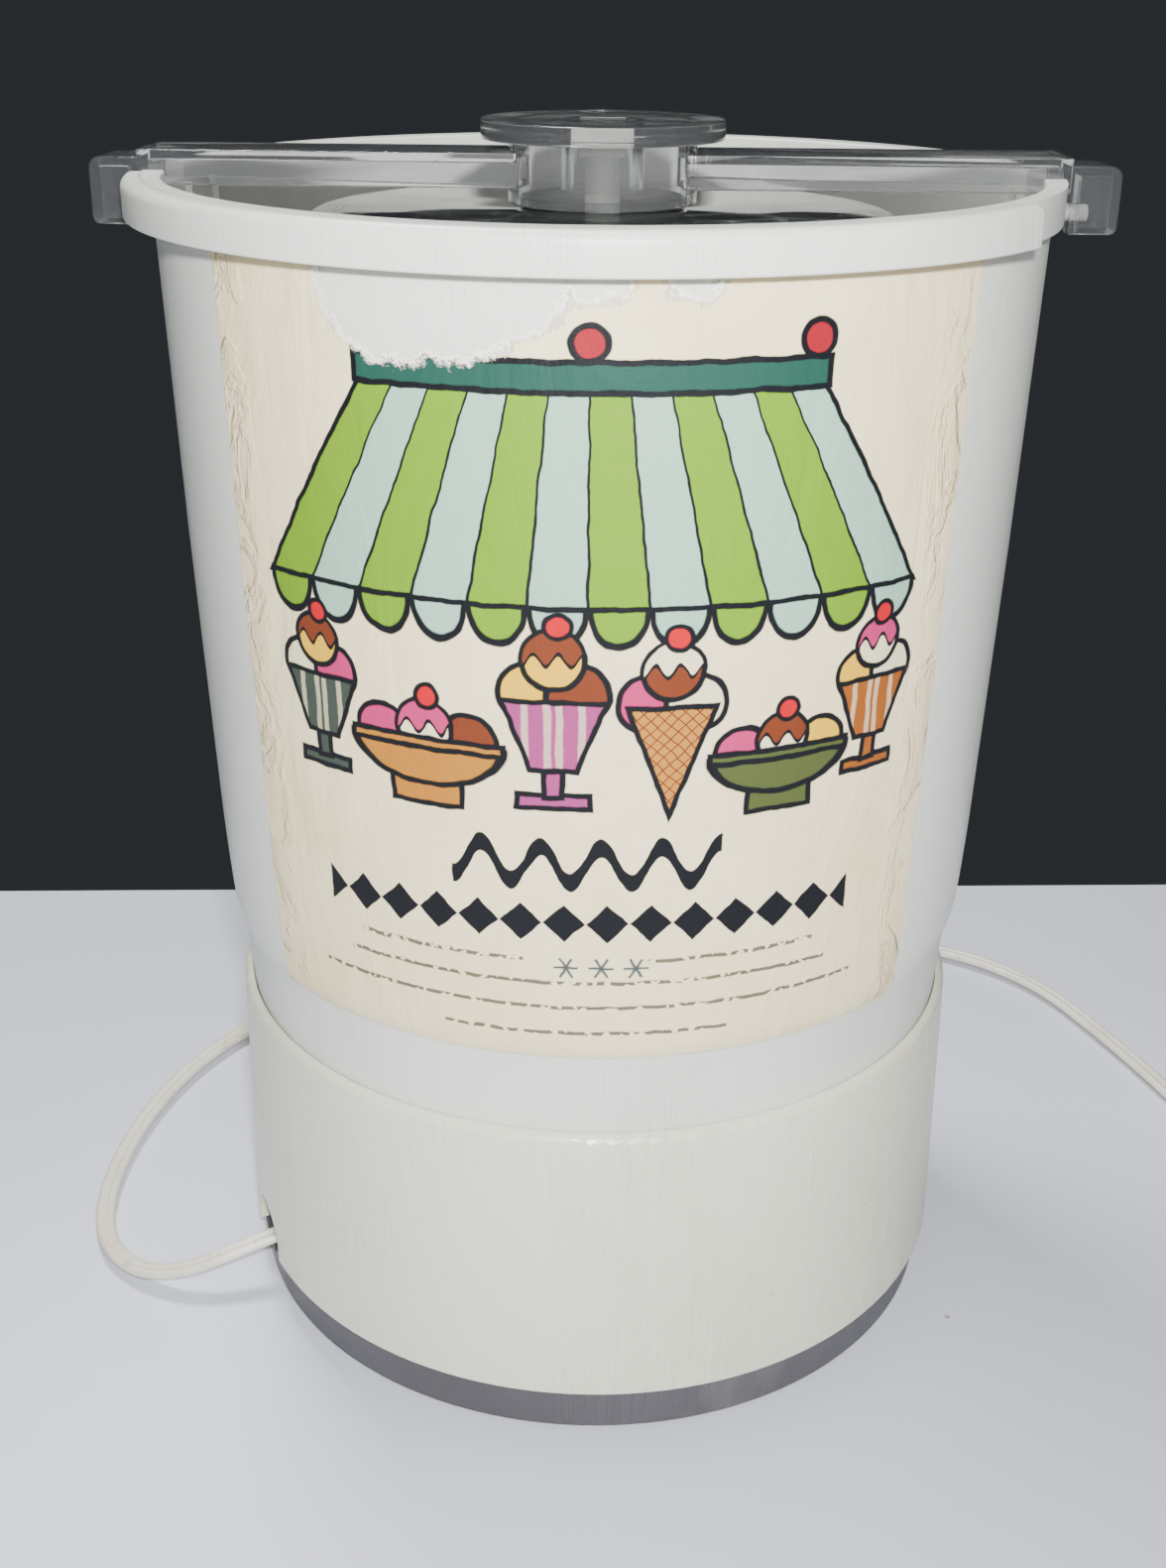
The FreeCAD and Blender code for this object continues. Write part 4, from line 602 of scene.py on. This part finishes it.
class StageSettings(bpy.types.PropertyGroup):
    """The floor and the lights."""
    floor_colour: bpy.props.FloatVectorProperty(name="Floor", description="Colour of the surface", size=3,
                                                subtype="COLOR", default=(0.66, 0.68, 0.76))
    key_power: bpy.props.FloatProperty(name="Front light", description="Power of the front light",
                                       default=4.5, subtype="POWER")
    top_power: bpy.props.FloatProperty(name="Top light", description="Power of the overhead light",
                                       default=20.0, subtype="POWER")
    flash_power: bpy.props.FloatProperty(name="Flash", description="Power of the small front light",
                                         default=7.5, subtype="POWER")


# outlines are (radius, height) in mm
WALL = 2.6
WALL_OUTLINE = ((109.2, 124.7), (111.5, 130.0), (113.0, 148.0), (116.7, 243.0), (119.2, 327.0))
SKIRT, SKIRT_FOOT = 107.2, 96.3
COLLAR, COLLAR_FOOT, COLLAR_TOP = 122.2, 327.0, 333.2
FLOOR_OUTLINE = ((106.6, 128.0), (7.5, 128.0), (7.5, 112.0), (11.0, 112.0), (11.0, 125.0), (106.6, 125.0))
NOTCH_HALF, NOTCH_RADIUS = 12.4, 119.0
PEG_RADIUS, PEG_LENGTH, PEG_MIDDLE, PEG_HEIGHT = 2.3, 11.4, 124.9, 327.5
RIB_ANGLES = (9.5, 164.5, 174.0, 189.5, 344.5, 354.0)
RIB_DEPTH, RIB_TOP = 2.0, 332.0
CAN_OUTLINE = ((0.0, 140.0), (68.0, 140.0), (74.0, 146.0), (76.0, 322.4), (77.4, 322.4), (77.4, 324.4),
               (75.0, 324.4), (73.0, 146.0), (67.6, 141.0), (0.0, 141.0))
LID_OUTLINE = ((8.9, 324.7), (72.6, 324.7), (72.6, 320.0), (74.3, 320.0), (74.3, 324.7), (77.7, 324.7),
               (77.7, 318.0), (79.4, 318.0), (79.4, 326.6), (22.4, 326.6), (22.4, 331.0), (20.2, 331.0),
               (20.2, 326.6), (8.9, 326.6))
LABEL_WIDTH = 197.0
PAPER_BACK, PAPER_FACE = 0.12, 0.42
ON_EDGE = 1e-5


def wall_radius(height):
    """Outer radius of the bucket's wall at a height, mm."""
    radii, heights = zip(*WALL_OUTLINE)
    return float(numpy.interp(height, heights, radii))


def softened(node, name, width, corners=()):
    """A merged copy of a CAD node with its sharp edges rounded by a width in mm, in place of the node.

    Each of corners is a distance from X = 0 and a height in metres, and the radius in mm that the
    edges there get first.
    """
    source = frame["nodes"][node]
    slot = next(part["material_slot"] for part in frame["record"]["subparts"] if part["node"] == node)
    body = next(body for body, parts in frame["record"]["behaviour"]["bodies"].items() if node in parts)
    mesh = bmesh.new()
    mesh.from_mesh(source.data)
    bmesh.ops.remove_doubles(mesh, verts=mesh.verts, dist=TOUCHING)
    bmesh.ops.dissolve_limit(mesh, angle_limit=math.radians(0.5), verts=mesh.verts, edges=mesh.edges)
    for reach, height, radius in corners:
        edges = [edge for edge in mesh.edges if all(
            abs(abs(end.co.x) - reach) < ON_EDGE and abs(end.co.z - height) < ON_EDGE
            for end in edge.verts)]
        bmesh.ops.bevel(mesh, geom=edges, offset=radius * MM, offset_type="OFFSET", segments=5,
                        profile=0.5, affect="EDGES", clamp_overlap=True, material=-1)
    made = piece(name, mesh, finish_for(slot), body, [node])
    bevel = made.modifiers.new("soft edges", "BEVEL")
    bevel.width = width * MM
    bevel.segments = 3
    bevel.limit_method = "ANGLE"
    bevel.angle_limit = math.radians(35.0)
    bevel.harden_normals = True
    return made


class ICM_OT_bucket(bpy.types.Operator):
    """Bucket: skirt, tapered wall, floor, rim bands, pegs and ribs."""
    bl_idname = "icm.bucket"
    bl_label = "Bucket"

    def execute(self, context):
        mesh = bmesh.new()
        inner_wall = [(radius - WALL, height) for radius, height in reversed(WALL_OUTLINE[2:4])]
        outline = [(SKIRT, SKIRT_FOOT), *WALL_OUTLINE, (COLLAR, COLLAR_FOOT), (COLLAR, COLLAR_TOP),
                   (WALL_OUTLINE[-1][0] - WALL, COLLAR_TOP), *inner_wall, *FLOOR_OUTLINE,
                   (SKIRT - WALL, SKIRT_FOOT)]
        lathe(mesh, outline, rounded={2: 4.0, 3: 14.0, 6: 1.0})
        self.rim(mesh, context.scene.icm_bucket)
        for turn in (0.0, math.pi):
            self.peg(mesh, turn)
        self.ribs(mesh)
        piece("ice_bucket_shell", mesh, finish_for("bucket_plastic"), "ice_bucket", ["bucket"])
        return {"FINISHED"}

    def rim(self, mesh, sizes):
        """The rim's two halves, notched for the bar, and the turned-down band on each."""
        top = sizes.rim_top / MM
        face = sizes.rim_radius / MM
        notch = math.asin(NOTCH_HALF / NOTCH_RADIUS)
        for half in (0.0, math.pi):
            lathe(mesh, [(116.6, COLLAR_TOP), (COLLAR, COLLAR_TOP), (COLLAR, top), (116.6, top)],
                  start=half + notch, sweep=math.pi - 2 * notch, rounded={3: 0.8})
            lathe(mesh, [(121.6, top), (121.6, top - WALL), (124.4, top - WALL), (124.4, 327.4),
                         (face, 327.4), (face, top)],
                  start=half + sizes.band_start, sweep=sizes.band_sweep, rounded={5: 2.5, 4: 0.7})

    def peg(self, mesh, turn):
        """A peg that a hook of the bar catches."""
        made = bmesh.new()
        bmesh.ops.create_cone(made, cap_ends=True, segments=32, radius1=PEG_RADIUS * MM,
                              radius2=PEG_RADIUS * MM, depth=PEG_LENGTH * MM)
        rims = [edge for edge in made.edges
                if abs(edge.verts[0].co.z - edge.verts[1].co.z) < TOUCHING]
        bmesh.ops.bevel(made, geom=rims, offset=0.5 * MM, offset_type="OFFSET", segments=3, profile=0.5,
                        affect="EDGES", clamp_overlap=True, material=-1)
        place = Matrix.Translation((PEG_MIDDLE * MM, 0, PEG_HEIGHT * MM))
        lying = Matrix.Rotation(math.pi / 2, 4, "Y")
        bmesh.ops.transform(made, verts=made.verts, matrix=Matrix.Rotation(turn, 4, "Z") @ place @ lying)
        join(mesh, made)

    def ribs(self, mesh):
        """Upright ribs on the inside of the wall."""
        (low, foot), (middle, waist), (high, _) = WALL_OUTLINE[2:]
        outline = [(low - WALL - RIB_DEPTH, foot), (low - WALL + 0.5, foot), (middle - WALL + 0.5, waist),
                   (high - WALL + 0.3, RIB_TOP), (high - WALL - RIB_DEPTH, RIB_TOP),
                   (middle - WALL - RIB_DEPTH, waist)]
        for angle in RIB_ANGLES:
            lathe(mesh, outline, start=math.radians(angle), sweep=math.radians(1.0))


class ICM_OT_base(bpy.types.Operator):
    """Base: the cream motor housing and the dark tray under it."""
    bl_idname = "icm.base"
    bl_label = "Base"

    def execute(self, context):
        for node in ("base_shell", "base_plate"):
            softened(node, node.replace("base", "motor"), width=0.35)
        return {"FINISHED"}


class ICM_OT_can(bpy.types.Operator):
    """Can: the drawn aluminium can with its rolled rim."""
    bl_idname = "icm.can"
    bl_label = "Can"

    def execute(self, context):
        mesh = bmesh.new()
        lathe(mesh, CAN_OUTLINE, rounded={1: 3.0, 2: 3.0, 4: 0.9, 5: 0.9, 6: 0.9}, closed=False)
        piece("cream_can", mesh, finish_for("can_aluminium"), "cream_can", ["can"])
        return {"FINISHED"}


class ICM_OT_lid(bpy.types.Operator):
    """Lid: the clear panel with its skirt, locating ring and collar."""
    bl_idname = "icm.lid"
    bl_label = "Can lid"

    def execute(self, context):
        mesh = bmesh.new()
        lathe(mesh, LID_OUTLINE, rounded={8: 1.4, 10: 0.6, 11: 0.6, 9: 0.8})
        piece("clear_can_lid", mesh, finish_for("lid_plastic"), "lid", ["can_lid"])
        return {"FINISHED"}


class ICM_OT_dasher(bpy.types.Operator):
    """Dasher: its stem, square head, arms and blades with softened edges."""
    bl_idname = "icm.dasher"
    bl_label = "Dasher"

    def execute(self, context):
        softened("dasher", "dasher_frame", width=0.6)
        return {"FINISHED"}


class ICM_OT_lock_bar(bpy.types.Operator):
    """Lock bar: the clear bar, hub and hooks with moulded edges."""
    bl_idname = "icm.lock_bar"
    bl_label = "Lock bar"

    def execute(self, context):
        low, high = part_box("lock_bar")
        softened("lock_bar", "clear_lock_bar", 0.5, [(high.x, 340.1 * MM, 3.2), (high.x, low.z, 2.2)])
        return {"FINISHED"}


class ICM_OT_label(bpy.types.Operator):
    """Label: the printed paper round the front of the bucket."""
    bl_idname = "icm.label"
    bl_label = "Front label"

    def execute(self, context):
        sizes = context.scene.icm_label
        bottom = sizes.bottom / MM
        tall = sizes.top / MM - bottom
        heights = [bottom, *numpy.linspace(128.0, 325.0, 60), bottom + tall]
        outside = [(wall_radius(height) + PAPER_FACE, height) for height in heights]
        inside = [(wall_radius(height) + PAPER_BACK, height) for height in reversed(heights)]
        mesh = bmesh.new()
        start = math.radians(270.0) - sizes.sweep / 2
        lathe(mesh, outside + inside, start=start, sweep=sizes.sweep, steps=360)
        layer = mesh.loops.layers.uv.new("sheet")
        for face in mesh.faces:
            for loop in face.loops:
                place = loop.vert.co
                angle = math.atan2(place.y, place.x) % FULL_TURN
                across = (angle - start) / sizes.sweep
                loop[layer].uv = (across, (place.z / MM - bottom) / tall)
        material = printed_label("printed_paper", LABEL_WIDTH, tall)
        piece("paper_label", mesh, material, "ice_bucket", ["front_label"])
        return {"FINISHED"}


CORD_ROUTE = [
    (-97.7, -43.5, 17.0), (-111.6, -49.7, 14.2), (-126.2, -53.4, 9.0), (-141.0, -50.2, 4.6),
    (-153.4, -40.6, 3.3), (-161.6, -25.6, 3.3), (-165.5, -5.0, 3.3), (-165.6, 20.0, 3.3),
    (-161.8, 48.0, 3.3), (-152.2, 78.0, 3.3), (-134.0, 107.0, 3.3), (-107.0, 133.0, 3.3),
    (-72.0, 154.0, 3.3), (-33.0, 171.0, 3.3), (10.0, 183.5, 3.3), (55.0, 190.5, 3.3),
    (98.0, 189.0, 3.3), (134.0, 181.0, 3.3), (163.0, 166.5, 3.3), (183.5, 144.5, 3.3),
    (197.0, 115.2, 3.3), (209.4, 85.0, 3.3), (219.8, 55.0, 3.3), (226.4, 33.0, 3.3),
    (229.2, 19.0, 2.9),
]
TAIL_ROUTE = [(229.4, 3.0, 9.0), (229.8, -12.0, 8.2), (232.0, -29.0, 7.7), (236.5, -45.0, 7.5)]
COIL_CENTRE = (264.0, 16.0)
COIL_TURNS = 5
POINTS_PER_TURN = 16
CORE_ARC = 280.0
CORE_POINTS = 12


def coil_points(sizes):
    """The put-away turns: an outer and an inner column, wound in three layers."""
    layers = [1.0 + sizes.thickness / MM * (0.5 + level) for level in range(3)]
    outer = sizes.coil_radius / MM
    inner = sizes.inner_radius / MM
    turns = numpy.arange(1, COIL_TURNS * POINTS_PER_TURN) / POINTS_PER_TURN
    radii = numpy.interp(turns, [0, 0.5, 1.0, 2.5, 3.0, 5], [outer, outer, inner, inner, outer, outer])
    heights = numpy.interp(turns, [0, 1.75, 2.0, 3.75, 4.0, 5],
                           [layers[0], layers[0], layers[1], layers[1], layers[2], layers[2]])
    for turn, radius, height in zip(turns, radii, heights):
        angle = math.pi + FULL_TURN * turn
        yield (COIL_CENTRE[0] + radius * math.cos(angle), COIL_CENTRE[1] + radius * math.sin(angle), height)


class ICM_OT_cord(bpy.types.Operator):
    """Cord: the flat two-core mains cord, its put-away turns and its tail."""
    bl_idname = "icm.cord"
    bl_label = "Mains cord"

    def execute(self, context):
        sizes = context.scene.icm_cord
        points = [*CORD_ROUTE, *coil_points(sizes), *TAIL_ROUTE]
        curve = bpy.data.curves.new("cord_line", "CURVE")
        curve.dimensions = "3D"
        curve.resolution_u = 6
        curve.twist_mode = "Z_UP"
        spline = curve.splines.new("NURBS")
        spline.points.add(len(points) - 1)
        for target, (x, y, z) in zip(spline.points, points):
            target.co = (x * MM, y * MM, z * MM, 1.0)
        spline.order_u = 3
        spline.use_endpoint_u = True
        line = bpy.data.objects.new("cord_line", curve)
        bpy.context.scene.collection.objects.link(line)
        path_mesh = bpy.data.meshes.new_from_object(line)
        bpy.data.meshes.remove(path_mesh)

        profile = self.cross_section(sizes)
        curve.bevel_mode = "OBJECT"
        curve.bevel_object = profile
        curve.use_fill_caps = True
        context.view_layer.update()
        depsgraph = context.evaluated_depsgraph_get()
        tube = bpy.data.meshes.new_from_object(line.evaluated_get(depsgraph), depsgraph=depsgraph)
        mesh = bmesh.new()
        mesh.from_mesh(tube)
        bpy.data.meshes.remove(tube)
        bmesh.ops.remove_doubles(mesh, verts=mesh.verts, dist=TOUCHING)
        bmesh.ops.recalc_face_normals(mesh, faces=mesh.faces)
        for helper in (line, profile):
            bpy.data.objects.remove(helper)
        made = piece("mains_cord", mesh, finish_for("cord_plastic"), "motor_base",
                     ["power_cord", "cord_coil", "cord_tail"], smooth=60.0)
        return {"FINISHED"}

    def cross_section(self, sizes):
        """The outline of two round cores side by side, with a groove between them."""
        section = bpy.data.curves.new("cord_section", "CURVE")
        section.dimensions = "2D"
        ring = section.splines.new("POLY")
        core = sizes.thickness / 2
        reach = sizes.width / 2 - core
        corners = []
        for side, first in ((1, -CORE_ARC / 2), (-1, 180.0 - CORE_ARC / 2)):
            for step in range(CORE_POINTS):
                angle = math.radians(first + step * CORE_ARC / (CORE_POINTS - 1))
                corners.append((side * reach + core * math.cos(angle), core * math.sin(angle)))
        ring.points.add(len(corners) - 1)
        for target, (x, y) in zip(ring.points, corners):
            target.co = (x, y, 0.0, 1.0)
        ring.use_cyclic_u = True
        profile = bpy.data.objects.new("cord_section", section)
        bpy.context.scene.collection.objects.link(profile)
        return profile


class ICM_OT_carried(bpy.types.Operator):
    """Finishes for every CAD node that stays as it is."""
    bl_idname = "icm.carried"
    bl_label = "Carried nodes"

    def execute(self, context):
        for part in frame["record"]["subparts"]:
            node = frame["nodes"][part["node"]]
            if part["material_slot"] == "label_paper":
                continue
            node.data.materials.clear()
            node.data.materials.append(finish_for(part["material_slot"]))
        return {"FINISHED"}


# ---------------------------------------------------------------- stage

def floor_finish(colour):
    """Pale paper on a table: faint creases, crumbs and marks."""
    finish = Finish("pale_surface", {"Specular IOR Level": 0.3})
    where = finish.place()
    clouds = finish.noise(where, 5.0, detail=4.0)
    crumbs = finish.cells(where, 38.0).below(0.035, 0.02) * finish.noise(where, 6.0).above(0.56, 0.04)
    tone = finish.blend(finish.spread(clouds, 0.35, 0.7), colour, tuple(part * 0.94 for part in colour))
    tone = finish.blend(crumbs * 0.7, tone, (0.20, 0.18, 0.16))
    creases = finish.noise(finish.place(scale=(1.0, 0.4, 1.0)), 14.0, detail=5.0, distortion=0.6)
    return finish.surface(colour=tone, roughness=finish.spread(clouds, 0.3, 0.7, 0.5, 0.65),
                          normal=finish.bump(creases, 0.002, 0.5))


FLOOR_SIZE = (3.0, 1.635)
FLOOR_MIDDLE = (0.0, -0.5825, -0.0002)
FLOOR_TURN = math.radians(3.2)
ROOM = (0.026, 0.030, 0.033, 1.0)

# the viewer: eye in metres, slope down, swing aside and roll in radians, lens in mm
EYE = (0.01007, -0.5216, 0.38704)
SLOPE, SWING, ROLL = 0.41672, -0.0270, 0.0077294
LENS, SENSOR = 42.353, 36.0


def area_light(name, place, target, size, power):
    """A square light that faces a point."""
    data = bpy.data.lights.new(name, "AREA")
    data.size = size
    data.energy = power
    light = bpy.data.objects.new(name, data)
    light.location = place
    light.rotation_euler = (Vector(target) - Vector(place)).to_track_quat("-Z", "Y").to_euler()
    bpy.context.scene.collection.objects.link(light)


class ICM_OT_stage(bpy.types.Operator):
    """Stage: the pale surface, soft light and the camera."""
    bl_idname = "icm.stage"
    bl_label = "Stage"

    def execute(self, context):
        sizes = context.scene.icm_stage
        mesh = bmesh.new()
        bmesh.ops.create_grid(mesh, x_segments=8, y_segments=8, size=0.5)
        bmesh.ops.scale(mesh, vec=(*FLOOR_SIZE, 1.0), verts=mesh.verts)
        bmesh.ops.translate(mesh, vec=FLOOR_MIDDLE, verts=mesh.verts)
        bmesh.ops.rotate(mesh, verts=mesh.verts, cent=(0, 0, 0), matrix=Matrix.Rotation(FLOOR_TURN, 3, "Z"))
        data = bpy.data.meshes.new("surface")
        mesh.to_mesh(data)
        mesh.free()
        data.materials.append(floor_finish(tuple(sizes.floor_colour)))
        floor = bpy.data.objects.new("surface", data)
        context.scene.collection.objects.link(floor)

        world = bpy.data.worlds.new("dim_room")
        world.use_nodes = True
        world.node_tree.nodes["Background"].inputs["Color"].default_value = ROOM
        context.scene.world = world
        area_light("front_light", (0.16, -1.10, 0.80), (0.0, 0.0, 0.17), 0.6, sizes.key_power)
        area_light("top_light", (-0.30, 0.45, 1.35), (0.0, 0.0, 0.1), 0.30, sizes.top_power)
        area_light("flash", (0.03, -0.56, 0.46), (0.0, 0.0, 0.2), 0.03, sizes.flash_power)
        self.aim_camera(context)
        return {"FINISHED"}

    def aim_camera(self, context):
        """The standing viewer's camera: its place, slope, slight roll and lens."""
        data = bpy.data.cameras.new("viewer")
        data.lens = LENS
        data.sensor_width = SENSOR
        data.clip_start = 0.01
        camera = bpy.data.objects.new("viewer", data)
        ahead = Vector((math.sin(SWING), math.cos(SWING), 0.0))
        right = Vector((math.cos(SWING), -math.sin(SWING), 0.0))
        forward = ahead * math.cos(SLOPE) - Vector((0, 0, math.sin(SLOPE)))
        up = ahead * math.sin(SLOPE) + Vector((0, 0, math.cos(SLOPE)))
        across = right * math.cos(ROLL) + up * math.sin(ROLL)
        upright = up * math.cos(ROLL) - right * math.sin(ROLL)
        turn = Matrix((across, upright, -forward)).transposed().to_4x4()
        camera.matrix_world = Matrix.Translation(EYE) @ turn
        context.scene.collection.objects.link(camera)
        context.scene.camera = camera


PIECES = (ICM_OT_stage, ICM_OT_cord, ICM_OT_carried, ICM_OT_base, ICM_OT_bucket, ICM_OT_can, ICM_OT_lid,
          ICM_OT_dasher, ICM_OT_lock_bar, ICM_OT_label)
SETTINGS = {"icm_bucket": BucketSettings, "icm_label": LabelSettings, "icm_cord": CordSettings,
            "icm_stage": StageSettings}


class ICM_PT_panel(bpy.types.Panel):
    """Lists every piece of the ice cream maker."""
    bl_idname = "ICM_PT_panel"
    bl_label = "Ice Cream Maker"
    bl_space_type = "VIEW_3D"
    bl_region_type = "UI"
    bl_category = "Ice Cream Maker"

    def draw(self, context):
        for name in SETTINGS:
            box = self.layout.box()
            for key in getattr(context.scene, name).bl_rna.properties.keys():
                if key not in ("rna_type", "name"):
                    box.prop(getattr(context.scene, name), key)
        for operator in PIECES:
            self.layout.operator(operator.bl_idname)


def register():
    for settings in SETTINGS.values():
        bpy.utils.register_class(settings)
    for name, settings in SETTINGS.items():
        setattr(bpy.types.Scene, name, bpy.props.PointerProperty(type=settings))
    for operator in (*PIECES, ICM_PT_panel):
        bpy.utils.register_class(operator)


def unregister():
    for operator in (*PIECES, ICM_PT_panel):
        bpy.utils.unregister_class(operator)
    for name, settings in SETTINGS.items():
        delattr(bpy.types.Scene, name)
        bpy.utils.unregister_class(settings)


def main():
    register()
    for operator in PIECES:
        group, name = operator.bl_idname.split(".")
        getattr(getattr(bpy.ops, group), name)()


if __name__ == "__main__":
    main()
